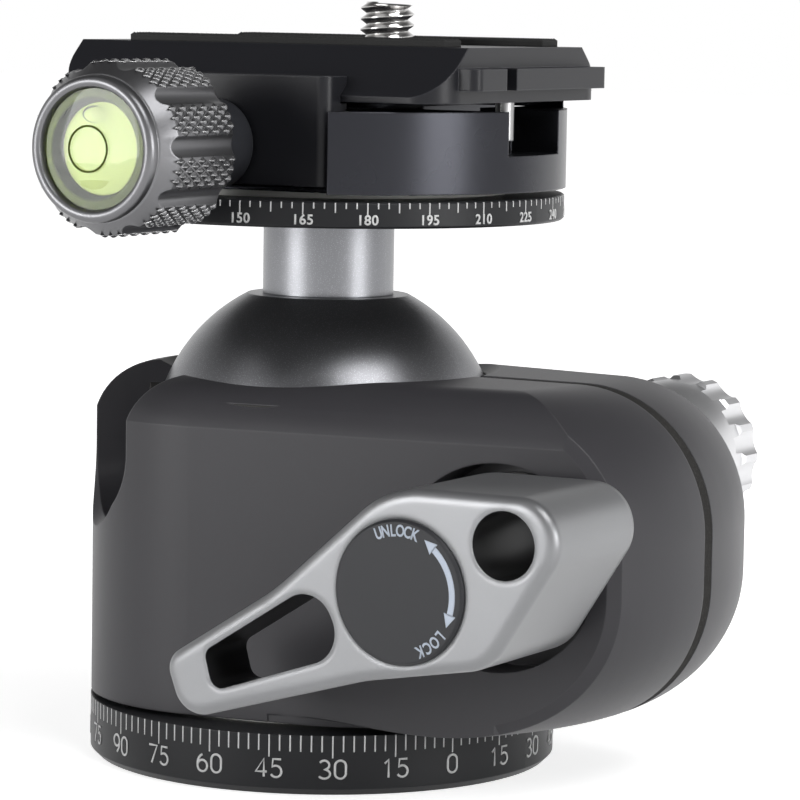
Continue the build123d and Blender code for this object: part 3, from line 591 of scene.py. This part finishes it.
# painted shade: the thrust washer and the lever's hub are darkened to stand for the shade in the deep recess
# under the lever
RECESS_SHADE_STEEL = Finish("steel_darkened_as_recess_shade", (0.02, 0.02, 0.021), 0.45, 0.3, 9000, 4e-6, drift=0.05)
PIN_STEEL = Finish("dull_pin_steel", (0.3, 0.3, 0.3), 0.35, 1.0, 9000, speck=0.05)
STEEL = Finish("bright_steel", (0.62, 0.61, 0.6), 0.16, 1.0, 9000, speck=0.05)
BRASS = Finish("turned_brass", (0.6, 0.42, 0.18), 0.28, 1.0, 7000, 8e-6, 0.05, 0.05)
NYLON = Finish("white_nylon", (0.72, 0.72, 0.68), 0.45, 0.0, 5000, 1e-5, 0.05)
LINER = Finish("bearing_liner", (0.016, 0.015, 0.014), 0.5, 0.0, 6000, 8e-6, 0.2, 0.1, specular=0.3)
RUBBER = Finish("black_rubber", (0.018, 0.018, 0.018), 0.7, 0.0, 6000, 1e-5, 0.2, 0.1, specular=0.2)
FOAM = Finish("black_foam", (0.022, 0.021, 0.02), 0.95, 0.0, 4200, 8e-5, 0.9, 0.25, specular=0.2)
PAINT = Finish("white_paint", (0.62, 0.62, 0.62), 0.55, 0.0, 5000, 1e-5, drift=0.05)
MARK_PAINT = Finish("pale_blue_paint", (0.5, 0.56, 0.66), 0.55, 0.0, 5000, 1e-5, drift=0.05)
LEVEL_WALL = Finish("level_wall", (0.004, 0.008, 0.004), 0.6, 0.0, 3000, 2e-6, drift=0.3, specular=0.1)
LEVEL_RIM = Finish("level_rim", (0.085, 0.11, 0.02), 0.5, 0.0, 700, 8e-5, 0.9, 0.4, specular=0.1)
LEVEL_LIQUID = Finish("level_liquid", (0.6, 0.7, 0.25), 0.45, 0.0, 1500, 1e-6, 0.0, 0.05, specular=0.2)
LEVEL_PRINT = Finish("level_print", (0.06, 0.085, 0.006), 0.5, 0.0, 6000, 1e-6, 0.0, 0.05, specular=0.1)


@dataclass(frozen=True)
class Clear:
    """A clear plastic or a bubble: smooth, with a faint unevenness."""

    name: str
    tint: Colour
    ior: float
    fineness: float = 300.0
    drift: float = 0.06
    darkest: float = 0.97
    rough: float = 0.04

    @cache
    def material(self) -> Material:
        """Build the clear material once.

        Returns:
            Its material.
        """
        mat, g = blank_material(self.name)
        grain = g.add("ShaderNodeGroup", {0: self.fineness}, node_tree=grain_group()).outputs
        value = g.math("ADD", g.math("MULTIPLY", grain["Drift"], self.drift), self.darkest)
        tone = g.add("ShaderNodeHueSaturation", {"Color": (*self.tint, 1), "Value": value})
        skin = g.add("ShaderNodeBsdfPrincipled", {
            "Base Color": tone.outputs[0], "Transmission Weight": 1.0, "IOR": self.ior,
            "Roughness": g.math("MULTIPLY", grain["Specks"], self.rough)})
        g.add("ShaderNodeOutputMaterial", {"Surface": skin.outputs[0]})
        return mat


LEVEL_LENS = Clear("level_lens", (0.96, 0.98, 0.93), 1.3)
LEVEL_BUBBLE = Clear("level_bubble", (1.0, 1.0, 1.0), 0.86)

# friction_knob, pan_knob and clamp_rim aren't here: they keep the plain satin silver they are loaded with
DRESSING: dict[Finish, str] = {
    BLACK_BODY: "housing housing_floor",
    BLACK_RING: "pan_base pan_ring",
    BLACK_CLAMP: "clamp_jaw quick_plate",
    CLAMP_SATIN: "clamp_body",
    BALL_GREY: "ball",
    SILVER_BLAST: "stem",
    LEVER_SATIN: "lever",
    CAP: "lever_cap",
    GREY_KNOB: "clamp_knob bubble_level",
    DARK_COLLAR: "clamp_collar",
    RECESS_SHADE_STEEL: "thrust_washer lever_hub",
    PIN_STEEL: "stop_pins",
    STEEL: "thread_insert pan_retainer retainer_screws floor_screws tension_bolt friction_screw pan_screw "
           "top_washer top_screw guide_pins clamp_screw camera_screw",
    BRASS: "friction_anchor",
    NYLON: "pan_washer brake_shoe top_liner",
    LINER: "cup_socket upper_seat_near upper_seat_rear upper_seat_far floating_cup",
    RUBBER: "pad_near pad_far",
    FOAM: "slit_seal",
}


def dress(obj: Object, finish: Finish | Clear) -> None:
    """Give an object one finish."""
    obj.data.materials.clear()
    obj.data.materials.append(finish.material())


def dress_nodes() -> None:
    """Give each listed node its finish in all of its slots."""
    for finish, nodes in DRESSING.items():
        for node in nodes.split():
            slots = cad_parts[node].data.materials
            if len(slots) == 0:
                slots.append(finish.material())
            for i in range(len(slots)):
                slots[i] = finish.material()
            LOG.info("dressed %s", node)


# ---- graduations ----
class Numerals(Enum):
    """Style of a dial's numbers."""

    ENGRAVED = "engraved"
    PRINTED = "printed"


def arc(centre: Pair, size: Pair, start: float, end: float, steps: int = 12) -> list[Pair]:
    """Points of an elliptic arc.

    Args:
        centre: middle of the arc.
        size: half width and half height.
        start: first angle in degrees.
        end: last angle in degrees.
        steps: number of chords.

    Returns:
        The points in order.
    """
    angles = [radians(start + (end - start) * i / steps) for i in range(steps + 1)]
    return [(centre[0] + size[0] * cos(a), centre[1] + size[1] * sin(a)) for a in angles]


def strokes(figure: str) -> list[list[Pair]]:
    """Pen strokes of an engraved figure in a box 0.6 wide and 1 high.

    Args:
        figure: one of the digits that the base's dial uses.

    Returns:
        The points of each stroke.
    """
    low, high = (0.3, 0.3), (0.3, 0.7)
    bowl = (0.3, 0.3)
    six = [arc((0.55, 0.42), (0.55, 0.58), 118, 180, 6) + arc(low, (0.3, 0.32), 180, 540, 20)]
    return {
        "0": [arc(high, bowl, 0, 180) + arc(low, bowl, 180, 360) + [(0.6, 0.7)]],
        "1": [[(0.12, 0.78), (0.34, 1.0), (0.34, 0.0)]],
        "3": [arc((0.28, 0.75), (0.27, 0.25), 150, -90) + arc((0.28, 0.25), (0.32, 0.25), 90, -150)],
        "4": [[(0.45, 0.0), (0.45, 1.0), (0.0, 0.28), (0.62, 0.28)]],
        "5": [[(0.55, 1.0), (0.1, 1.0), (0.06, 0.56)] + arc((0.27, 0.32), (0.31, 0.32), 112, -150)],
        "6": six,
        "7": [[(0.0, 1.0), (0.6, 1.0), (0.2, 0.0)]],
        "9": [[(0.6 - x, 1.0 - y) for x, y in line] for line in six],
    }[figure]


@dataclass
class BaseDial:
    """Ring of ticks and numbers round the base, in millimetres and degrees.

    Its numbers run backwards, up to 90 and down again in each half of the ring.
    """

    name: str = "base_dial"
    body: str = "base"
    radius: float = 28.04
    tick_top: float = 7.0
    short: float = 1.9
    middle: float = 1.9
    long: float = 2.6
    width: float = 0.18
    first: float = 63.7
    number_low: float = 2.05
    number_high: float = 4.15
    style: Numerals = Numerals.ENGRAVED
    proud: float = 0.015
    sunk: float = 0.12
    rounding: float = 0.03
    pitch: float = 2.5
    group: int = 6
    groups: int = 24
    number_step: int = 15
    figure_width: float = 0.6
    figure_advance: float = 0.86
    pen: float = 0.15
    pen_flat: float = 0.35
    print_thick: float = 0.05
    print_bold: float = 0.035
    print_spacing: float = 1.06

    def tick(self, index: int) -> Object:
        """Model one tick of a group.

        Args:
            index: 0 for the long tick, which has the number.

        Returns:
            The placed tick.
        """
        length = self.long if index == 0 else self.middle if index == self.group // 2 else self.short
        deep = self.proud + self.sunk
        middle = (0.0, -(self.radius + self.proud - deep / 2), self.tick_top - length / 2)
        mark = bar(self.name + "_tick", (self.width, deep, length), middle, self.rounding)
        return move(mark, Matrix.Rotation(radians(self.first + self.pitch * index), 4, "Z"))

    def ticks(self) -> Object:
        """Model one group of ticks and repeat it round the ring.

        Returns:
            All the ticks.
        """
        ring = join(self.name + "_ticks", [self.tick(i) for i in range(self.group)])
        repeat_round(ring, self.groups)
        weld(ring)
        return ring

    def value(self, index: int) -> int:
        """Number at the long tick, counted from the zero tick."""
        around = (-index * self.number_step) % 180
        return around if around <= 90 else 180 - around

    def engraved(self, text: str) -> Object:
        """Draw a number with a round-ended pen and flatten it to a thin inlay.

        Args:
            text: the number.

        Returns:
            The settled number.
        """
        height = self.number_high - self.number_low
        begin = -(self.figure_advance * (len(text) - 1) + self.figure_width) / 2
        parts = []
        for i, figure in enumerate(text):
            left = begin + i * self.figure_advance
            for line in strokes(figure):
                stroke = chain("pen", [((x + left) * height * MM, 0.0, y * height * MM) for x, y in line])
                bpy.ops.object.convert(target="CURVE")
                stroke.data.bevel_depth = self.pen * MM
                stroke.data.bevel_resolution = 1
                stroke.data.use_fill_caps = True
                bpy.ops.object.convert(target="MESH")
                parts.append(bpy.context.object)
        label = join("number", parts)
        label.scale = (1.0, self.pen_flat, 1.0)
        return settle(label)

    def printed(self, text: str) -> Object:
        """Set a number in bold type as a thin solid."""
        height = self.number_high - self.number_low
        return lettering(text, height, self.print_thick, self.print_bold, spacing=self.print_spacing)

    def numbers(self) -> Object:
        """Write every number once and stand copies of it at its long ticks.

        Returns:
            All the numbers.
        """
        label = self.engraved if self.style is Numerals.ENGRAVED else self.printed
        up = Matrix.Translation((0.0, -self.radius * MM, self.number_low * MM))
        out: list[Object] = []
        made: dict[str, Object] = {}
        for i in range(self.groups):
            text = str(self.value(i))
            if text not in made:
                made[text] = label(text)
            round_by = radians(self.first + self.pitch * self.group * i)
            out.append(copy_at(made[text], Matrix.Rotation(round_by, 4, "Z") @ up))
        for part in made.values():
            bpy.data.objects.remove(part)
        return join(self.name + "_numbers", out)

    def build(self) -> None:
        """Model and dress the ticks and the numbers."""
        for part in (self.ticks(), self.numbers()):
            dress(part, PAINT)
            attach(part, self.body)


@dataclass
class ClampDial(BaseDial):
    """Dial of the clamp's ring, which is numbered all the way round."""

    name: str = "clamp_dial"
    body: str = "ball"
    radius: float = 28.1
    tick_top: float = 67.88
    short: float = 0.7
    middle: float = 1.15
    long: float = 1.4
    width: float = 0.17
    first: float = 40.0
    number_low: float = 65.4
    number_high: float = 66.5
    style: Numerals = Numerals.PRINTED

    def value(self, index: int) -> int:
        """Number at the long tick, counted from the 180 tick."""
        return (180 + index * self.number_step) % 360


# ---- clamp knob ----
@dataclass
class ClampKnob:
    """Fluted and knurled knob with a round level in its face; sizes in millimetres from its front."""

    x: float = -1.2
    z: float = 74.0
    front: float = -48.6
    length: float = 14.6
    radius: float = 9.55
    window: float = 6.65
    well: float = 8.0
    bore: float = 3.0
    bore_depth: float = 4.0
    ease: float = 0.05
    crease: float = 28.0
    flutes: int = 10
    flute_radius: float = 1.6
    flute_depth: float = 0.62
    mill_length: float = 30.0
    cone_end: float = 3.2
    diamond: Pair = (2.1, 1.12)
    diamond_top: float = 0.24
    diamond_height: float = 0.3
    diamond_fill: float = 0.98
    diamond_stand: float = 0.1
    knurl_rows: int = 6
    knurl_across: int = 3
    knurl_margin: float = 0.5
    phase: float = -2.8
    level_fit: float = 0.02
    print_x: float = -0.55
    bubble: float = 1.25
    bubble_crease: float = 60.0
    bubble_at: Point = (-0.4, 1.55, 3.75)
    bubble_shape: Point = (1.25, 0.35, 0.75)
    # (distance outside the window, depth) along the lip and the groove behind it
    LIP: ClassVar[Profile] = (
        (0.0, 0.85), (0.05, 0.5), (0.2, 0.2), (0.45, 0.04), (0.7, 0.0), (0.95, 0.05), (1.2, 0.22),
        (1.38, 0.5), (1.46, 0.85), (1.46, 1.2), (1.36, 1.28), (1.36, 1.45), (1.52, 1.5))
    # (distance inside the radius, distance before the end) along the rear edge
    REAR_EDGE: ClassVar[Profile] = ((0.0, 0.55), (0.15, 0.2), (0.6, 0.0))

    def centre(self) -> Point:
        """Centre of the knob's front face in metres."""
        return (self.x * MM, self.front * MM, self.z * MM)

    def grip(self) -> Object:
        """Turn the grip with its lip, groove and cone, and mill the flutes.

        Returns:
            The grip about the upright axis.
        """
        r, w, end = self.radius, self.window, self.length
        profile = [(0.0, self.well), (w, self.well), *((w + out, deep) for out, deep in self.LIP),
                   (r - self.ease, self.cone_end - self.ease), (r, self.cone_end + self.ease),
                   *((r - inset, end - back) for inset, back in self.REAR_EDGE),
                   (self.bore, end), (self.bore, end - self.bore_depth), (0.0, end - self.bore_depth)]
        body = turn("knob_grip", profile, steps=180)
        reach = r + self.flute_radius - self.flute_depth
        clear_selection()
        bpy.ops.mesh.primitive_cylinder_add(
            vertices=48, radius=self.flute_radius * MM, depth=self.mill_length * MM,
            location=(reach * MM, 0, end / 2 * MM))
        mill = settle(named("mill"))
        repeat_round(mill, self.flutes)
        return cut_with(body, mill)

    def knurl(self) -> Object:
        """Stand rows of long diamonds on every land between the flutes.

        Returns:
            All the diamonds about the upright axis.
        """
        long, wide = self.diamond
        turn_half = wide / 2 / self.radius
        clear_selection()
        bpy.ops.mesh.primitive_cone_add(
            vertices=4, radius1=MM, radius2=self.diamond_top * MM, depth=self.diamond_height * MM,
            rotation=(0, radians(90), 0), location=(0, 0, 0))
        obj = settle(named("knob_knurl"))
        obj.scale = (1.0, wide / 2 * self.diamond_fill, long / 2 * self.diamond_fill)
        settle(obj)
        edit(obj)
        start = self.cone_end + self.knurl_margin
        bpy.ops.transform.translate(value=((self.radius + self.diamond_stand) * MM, 0, start * MM))
        for _ in range(self.knurl_rows - 1):
            bpy.ops.mesh.duplicate_move(TRANSFORM_OT_translate={"value": (0, 0, long * MM)})
        bpy.ops.mesh.select_all(action="SELECT")
        leave_edit()
        odd = copy_at(obj, Matrix.Rotation(turn_half, 4, "Z") @ Matrix.Translation((0, 0, long / 2 * MM)))
        land = join("knob_knurl", [obj, odd])
        repeat_round(land, self.knurl_across, -2 * turn_half * (self.knurl_across - 1))
        trim(land, self.length - self.knurl_margin)
        span = [v.co.y for v in land.data.vertices]
        middle = (max(span) + min(span)) / 2 / (self.radius * MM)
        move(land, Matrix.Rotation(-middle + pi / self.flutes, 4, "Z"))
        repeat_round(land, self.flutes)
        return land

    def layer(self, name: str, profile: Profile, finish: Finish | Clear, shift: float = 0.0,
              steps: int = 96) -> Object:
        """Turn and dress one layer of the level.

        Args:
            name: name of the layer.
            profile: (radius, depth) points in millimetres.
            finish: what it is made of.
            shift: how far it sits to the right of the middle, in millimetres.
            steps: sides of the round.

        Returns:
            The layer in its place.
        """
        x, y, z = self.centre()
        part = turn(name, profile, Axis.REAR, (x + shift * MM, y, z), steps)
        dress(part, finish)
        return part

    def air_bubble(self) -> Object:
        """Model the flattened bubble under the lens.

        Returns:
            The dressed bubble.
        """
        place = [(c + off) * MM for c, off in zip((self.x, self.front, self.z), self.bubble_at)]
        clear_selection()
        bpy.ops.mesh.primitive_uv_sphere_add(
            segments=32, ring_count=16, radius=self.bubble * MM, location=place)
        bubble = named("level_bubble")
        bubble.scale = self.bubble_shape
        settle(bubble)
        smooth(bubble, self.bubble_crease)
        dress(bubble, LEVEL_BUBBLE)
        return bubble

    def level(self) -> None:
        """Build the round level: well, rim, floor, clear lens, printed circle and bubble."""
        w = self.window - self.level_fit
        well = self.layer("level_well", [
            (0.0, 7.9), (w, 7.9), (w, 1.15), (5.65, 0.98), (5.5, 1.1), (5.05, 2.5), (0.0, 2.5)], LEVEL_WALL)
        rim = self.layer("level_rim", [
            (w - 0.01, 1.16), (w - 0.01, 1.1), (5.7, 0.92), (5.62, 0.96), (5.7, 1.0), (w - 0.01, 1.16)],
            LEVEL_RIM)
        disc = self.layer("level_floor", [
            (0.0, 2.52), (5.04, 2.52), (5.06, 2.42), (4.9, 2.36), (0.0, 2.3)], LEVEL_LIQUID)
        lens = self.layer("level_lens", [
            (0.0, 0.8), (5.2, 0.86), (w, 0.94), (w, 0.78), (5.9, 0.62), (4.0, 0.5), (2.0, 0.43), (0.0, 0.41)],
            LEVEL_LENS)
        circle = self.layer("level_circle", [
            (2.4, 0.5), (2.62, 0.5), (2.62, 0.395), (2.4, 0.385), (2.4, 0.5)], LEVEL_PRINT, self.print_x, 72)
        for part in (well, rim, disc, lens, circle, self.air_bubble()):
            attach(part, "clamp_knob")
        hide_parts("bubble_level")

    def build(self) -> None:
        """Model, place and dress the knob and its level."""
        grip, knurl = self.grip(), self.knurl()
        for part in (grip, knurl):
            move(part, Matrix.Rotation(radians(self.phase), 4, "Z"))
            aim(part, Axis.REAR, self.centre())
        smooth(grip, self.crease)
        dress(grip, GREY_KNOB)
        dress(knurl, GREY_KNURL)
        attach(grip, "clamp_knob")
        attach(knurl, "clamp_knob")
        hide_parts("clamp_knob", "clamp_rim")
        self.level()


# ---- lever ----
@dataclass
class LeverPockets:
    """Painted shade on the walls of the lever's window and round hole, in millimetres."""

    corners: tuple[Pair, ...] = ((8.7, 18.5), (9.9, 14.1), (27.0, 19.9), (23.2, 27.7))
    hole: Point = (46.2, 33.5, 3.75)
    hole_margin: float = 0.1
    window_margin: float = 0.5
    steepest: float = 0.6

    def inside(self, x: float, z: float) -> bool:
        """Tell whether a point lies on the wall of the window or the hole.

        Args:
            x: place along the lever in millimetres.
            z: height in millimetres.

        Returns:
            True if it does.
        """
        if hypot(x - self.hole[0], z - self.hole[1]) < self.hole[2] + self.hole_margin:
            return True
        for (ax, az), (bx, bz) in zip(self.corners, self.corners[1:] + self.corners[:1]):
            inward = ((bx - ax) * (z - az) - (bz - az) * (x - ax)) / hypot(bx - ax, bz - az)
            if inward <= -self.window_margin:
                return False
        return True

    def build(self) -> None:
        """Paint shade on the walls of both pockets with a dark finish."""
        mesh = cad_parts["lever"].data
        mesh.materials.append(POCKET_SHADE.material())
        dark = len(mesh.materials) - 1
        for face in mesh.polygons:
            if abs(face.normal.y) < self.steepest and self.inside(face.center.x / MM, face.center.z / MM):
                face.material_index = dark


@dataclass
class CapMarks:
    """Pale words and the double-headed arrow on the lever's cap, in millimetres and degrees."""

    x: float = 33.7
    z: float = 27.4
    face: float = -40.5
    word_radius: float = 6.15
    letter: float = 1.25
    band: Pair = (6.3, 7.02)
    sweep: Pair = (-16.0, 50.0)
    band_steps: int = 28
    tip: float = 1.5
    tip_half: float = 0.85
    tip_shift: float = 0.45
    proud: float = 0.02
    bold: float = 0.045
    narrow: float = 0.74
    WORDS: ClassVar[tuple[tuple[str, float, float], ...]] = (("UNLOCK", 112.0, 73.0), ("LOCK", -38.0, -65.0))
    TRIANGLE: ClassVar[float] = 1.5

    def place(self, radius: float, angle: float) -> Matrix:
        """Find a place on the cap, with up pointing outwards.

        Args:
            radius: distance from the cap's centre.
            angle: angle from the X axis.

        Returns:
            The matrix that moves there.
        """
        turn_by = Matrix.Rotation(-radians(angle - 90), 4, "Y")
        centre = Matrix.Translation((self.x * MM, self.face * MM, self.z * MM))
        return centre @ turn_by @ Matrix.Translation((0, 0, radius * MM))

    def word(self, text: str, start: float, end: float) -> list[Object]:
        """Set a word letter by letter along the circle.

        Args:
            text: the word.
            start: angle of its first letter.
            end: angle of its last letter.

        Returns:
            The placed letters.
        """
        letters = []
        for i, letter in enumerate(text):
            obj = lettering(letter, self.letter, self.proud, self.bold, self.narrow, facets=3)
            angle = start + (end - start) * i / (len(text) - 1)
            letters.append(move(obj, self.place(self.word_radius, angle)))
        return letters

    def arrow(self) -> Object:
        """Sweep the arrow's band and set a head on each end.

        Returns:
            The arrow as a thin solid.
        """
        low, high = self.band
        first, last = self.sweep
        band = chain("arrow_band", [(low * MM, 0, 0), (high * MM, 0, 0)])
        edit(band)
        bpy.ops.mesh.spin(
            steps=self.band_steps, angle=radians(last - first), center=(0, 0, 0), axis=(0, 1, 0))
        leave_edit()
        parts = [move(band, self.place(0, first + 90))]
        for angle, way in ((last, 1), (first, -1)):
            clear_selection()
            bpy.ops.mesh.primitive_circle_add(
                vertices=3, radius=MM, fill_type="NGON", rotation=(radians(90), 0, 0))
            head = settle(named("arrow_head"))
            head.scale = (self.tip_half, 1.0, self.tip / self.TRIANGLE)
            settle(head)
            lean = Matrix.Rotation(radians(-90 * way), 4, "Y")
            shift = Matrix.Translation((0, 0, self.tip_shift * MM))
            parts.append(move(head, self.place((low + high) / 2, angle) @ lean @ shift))
        arrow = join("arrow", parts)
        edit(arrow)
        bpy.ops.mesh.extrude_region_move(TRANSFORM_OT_translate={"value": (0, -self.proud * MM, 0)})
        leave_edit()
        weld(arrow)
        return arrow

    def build(self) -> None:
        """Model and dress the marks."""
        parts = [self.arrow()]
        for text, start, end in self.WORDS:
            parts += self.word(text, start, end)
        marks = join("cap_marks", parts)
        dress(marks, MARK_PAINT)
        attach(marks, "lever")


# ---- quick plate ----
@dataclass
class RubberPad:
    """Rubber strip with fine cross ribs; its size comes from the node that it replaces."""

    node: str
    pitch: float = 0.68
    relief: float = 0.28

    def build(self) -> None:
        """Model the ribbed strip in the place of the node."""
        low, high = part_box(self.node)
        wide, deep = high[0] - low[0], high[1] - low[1]
        columns, rows = round(wide / (self.pitch * MM)), round(deep / (self.pitch * MM))
        clear_selection()
        middle = ((low[0] + high[0]) / 2, (low[1] + high[1]) / 2, high[2] - self.relief * MM)
        bpy.ops.mesh.primitive_grid_add(
            x_subdivisions=2 * columns, y_subdivisions=2 * rows, size=1, location=middle)
        strip = named(self.node + "_rubber")
        strip.scale = (wide, deep, 1)
        settle(strip)
        cell = (wide / (2 * columns), deep / (2 * rows))
        edit(strip, "DESELECT")
        leave_edit()
        for vertex in strip.data.vertices:
            i = round((vertex.co.x - low[0]) / cell[0])
            j = round((vertex.co.y - low[1]) / cell[1])
            vertex.select = i % 2 == 1 and j % 2 == 1
        bpy.ops.object.mode_set(mode="EDIT")
        bpy.ops.transform.translate(value=(0, 0, self.relief * MM))
        bpy.ops.mesh.select_all(action="SELECT")
        bpy.ops.mesh.extrude_region_move(TRANSFORM_OT_translate={"value": (0, 0, low[2] - high[2])})
        bpy.ops.transform.resize(value=(1, 1, 0), center_override=(0, 0, low[2]))
        leave_edit()
        weld(strip)
        dress(strip, RUBBER)
        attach(strip, "plate")
        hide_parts(self.node)


@dataclass
class CameraScrew:
    """Camera screw with a real 1/4 inch thread on its fixed head, in millimetres."""

    x: float = 7.65
    major: float = 3.175
    minor: float = 2.5
    pitch: float = 1.27
    low: float = 85.7
    top: float = 90.7
    root: float = 0.05
    flanks: tuple[float, float, float, float] = (0.1, 0.45, 0.57, 0.92)
    lead_in: int = 2
    sides: int = 48
    taper: float = 1.6
    point: float = 2.15
    clear: float = 1.0
    overlap: float = 0.02
    crease: float = 35.0

    def thread(self) -> Object:
        """Sweep one V of thread up the shank, and trim and taper its ends.

        Returns:
            The threaded shank about the upright axis.
        """
        p = self.pitch
        foot, crest, crest_end, foot_end = (share * p for share in self.flanks)
        profile = [(self.minor, 0.0), (self.minor + self.root, foot), (self.major, crest),
                   (self.major, crest_end), (self.minor + self.root, foot_end), (self.minor, p)]
        lowest = self.low - self.lead_in * p
        obj = chain("screw_thread", [(r * MM, 0.0, (h + lowest) * MM) for r, h in profile])
        turns = int((self.top - self.low) / p) + 2 * self.lead_in
        apply_modifier(
            obj, "SCREW", screw_offset=p * MM, iterations=turns, steps=self.sides, render_steps=self.sides,
            use_merge_vertices=True, merge_threshold=WELD)
        trim(obj, self.low, above=False)
        trim(obj, self.top)
        weld(obj)
        bottom, wide = self.low - self.clear, self.major + self.clear
        cone = turn("point", [
            (0, bottom), (wide, bottom), (wide, self.top - self.taper), (self.point, self.top),
            (0, self.top)], steps=72)
        return cut_with(obj, cone, "INTERSECT")

    def build(self) -> None:
        """Join the thread to the fixed head and neck."""
        head = cad_copy("screw_head", "camera_screw")
        trim(head, self.low + self.overlap)
        thread = move(self.thread(), Matrix.Translation((self.x * MM, 0, 0)))
        screw = join("threaded_screw", [head, thread])
        smooth(screw, self.crease)
        dress(screw, STEEL)
        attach(screw, "camera_screw")
        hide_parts("camera_screw")


# ---- studio ----
@dataclass(frozen=True)
class Lamp:
    """Soft square panel that faces the object; angles in degrees, its side in metres, power in watts."""

    name: str
    around: float
    up: float
    size: float
    power: float

    def hang(self, middle: Point, reach: float) -> None:
        """Hang the lamp.

        Args:
            middle: place that it faces.
            reach: its distance from there in metres.
        """
        data = bpy.data.lights.new(self.name, "AREA")
        data.size, data.energy = self.size, self.power
        obj = bpy.data.objects.new(self.name, data)
        bpy.context.collection.objects.link(obj)
        around, up = radians(self.around), radians(self.up)
        away = Vector((cos(around) * cos(up), sin(around) * cos(up), sin(up)))
        obj.rotation_euler = (-away).to_track_quat("-Z", "Y").to_euler()
        obj.location = Vector(middle) + away * reach


def seen_rays(g: Graph) -> Socket:
    """Mask of the rays that show the background: camera, mirrored and passed-through ones.

    Args:
        g: graph to add it to.

    Returns:
        The mask.
    """
    path = g.add("ShaderNodeLightPath")
    mirrored = g.math("MAXIMUM", path.outputs["Is Glossy Ray"], path.outputs["Is Transmission Ray"])
    return g.math("MAXIMUM", path.outputs["Is Camera Ray"], mirrored)


@dataclass
class Studio:
    """Camera, lamps, white world and floor; lengths in metres and angles in degrees."""

    place: Point = (0.23538, -0.39001, 0.09109)
    azimuth: float = 30.0
    pitch: float = 83.938
    roll: float = 0.921
    lens: float = 171.07
    sensor: float = 36.0
    middle: Point = (0.01, 0.0, 0.045)
    reach: float = 1.0
    ambient: float = 0.1
    # (upward part of the direction, strength) where the seen sky starts and stops to darken
    horizon: Pair = (0.15, 1.0)
    ceiling: Pair = (0.65, 0.1)
    floor_z: float = -0.0001
    floor_size: float = 6.0
    floor_grey: float = 0.75
    # (distance from the middle, glow) of the floor near the object and away from it
    near: Pair = (0.04, 0.75)
    far: Pair = (0.16, 1.0)
    LAMPS: ClassVar[tuple[Lamp, ...]] = (
        Lamp("key", -118, 8, 0.45, 5.5), Lamp("side", -4, 10, 0.4, 5.0), Lamp("fill", -22, 52, 0.5, 5.5),
        Lamp("high", -112, 45, 0.8, 1.0), Lamp("rim", 60, 8, 0.5, 0.4))

    def camera(self) -> None:
        """Place the camera."""
        data = bpy.data.cameras.new("camera")
        data.lens, data.sensor_width = self.lens, self.sensor
        data.clip_start, data.clip_end = 0.01, 20.0
        cam = bpy.data.objects.new("camera", data)
        bpy.context.collection.objects.link(cam)
        turn_by = Matrix.Identity(3)
        for angle, axis in ((self.azimuth, "Z"), (self.pitch, "X"), (self.roll, "Z")):
            turn_by = turn_by @ Matrix.Rotation(radians(angle), 3, axis)
        cam.matrix_world = Matrix.Translation(self.place) @ turn_by.to_4x4()
        bpy.context.scene.camera = cam

    def world(self) -> None:
        """Make a world that is white where seen or mirrored, darker overhead and faint as light."""
        world = bpy.data.worlds.new("studio")
        bpy.context.scene.world = world
        world.use_nodes = True
        g = Graph(world.node_tree)
        way = g.add("ShaderNodeTexCoord").outputs["Generated"]
        upward = g.add("ShaderNodeSeparateXYZ", {0: way}).outputs[2]
        strength = g.ramp(upward, self.horizon, self.ceiling, "SMOOTHSTEP")
        white = (1, 1, 1, 1)
        seen = g.add("ShaderNodeBackground", {0: white, 1: strength})
        lit = g.add("ShaderNodeBackground", {0: white, 1: self.ambient})
        mix = g.add("ShaderNodeMixShader", {0: seen_rays(g), 1: lit.outputs[0], 2: seen.outputs[0]})
        g.add("ShaderNodeOutputWorld", {0: mix.outputs[0]})

    def floor(self) -> None:
        """Lay a pale floor that looks white and keeps the shadow."""
        clear_selection()
        bpy.ops.mesh.primitive_plane_add(size=self.floor_size, location=(0, 0, self.floor_z))
        obj = settle(named("floor"))
        mat, g = blank_material("pale_floor")
        where = g.add("ShaderNodeTexCoord").outputs["Object"]
        away = g.add("ShaderNodeVectorMath", {0: where}, operation="LENGTH").outputs["Value"]
        strength = g.math("MULTIPLY", g.ramp(away, self.near, self.far), seen_rays(g))
        matte = g.add("ShaderNodeBsdfDiffuse", {0: (*[self.floor_grey] * 3, 1)})
        glow = g.add("ShaderNodeEmission", {0: (1, 1, 1, 1), 1: strength})
        total = g.add("ShaderNodeAddShader", {0: matte.outputs[0], 1: glow.outputs[0]})
        g.add("ShaderNodeOutputMaterial", {"Surface": total.outputs[0]})
        obj.data.materials.append(mat)

    def build(self) -> None:
        """Set the whole studio."""
        self.camera()
        self.world()
        self.floor()
        for lamp in self.LAMPS:
            lamp.hang(self.middle, self.reach)
        bpy.context.scene.view_settings.view_transform = "Standard"


def main() -> None:
    """Build everything in order."""
    logging.basicConfig(level=logging.INFO)
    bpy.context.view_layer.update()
    dress_nodes()
    for piece in (BaseDial(), ClampDial(), ClampKnob(), LeverPockets(), CapMarks(), RubberPad("pad_near"),
                  RubberPad("pad_far"), CameraScrew(), Studio()):
        LOG.info("building %s", piece)
        piece.build()


if __name__ == "__main__":
    main()
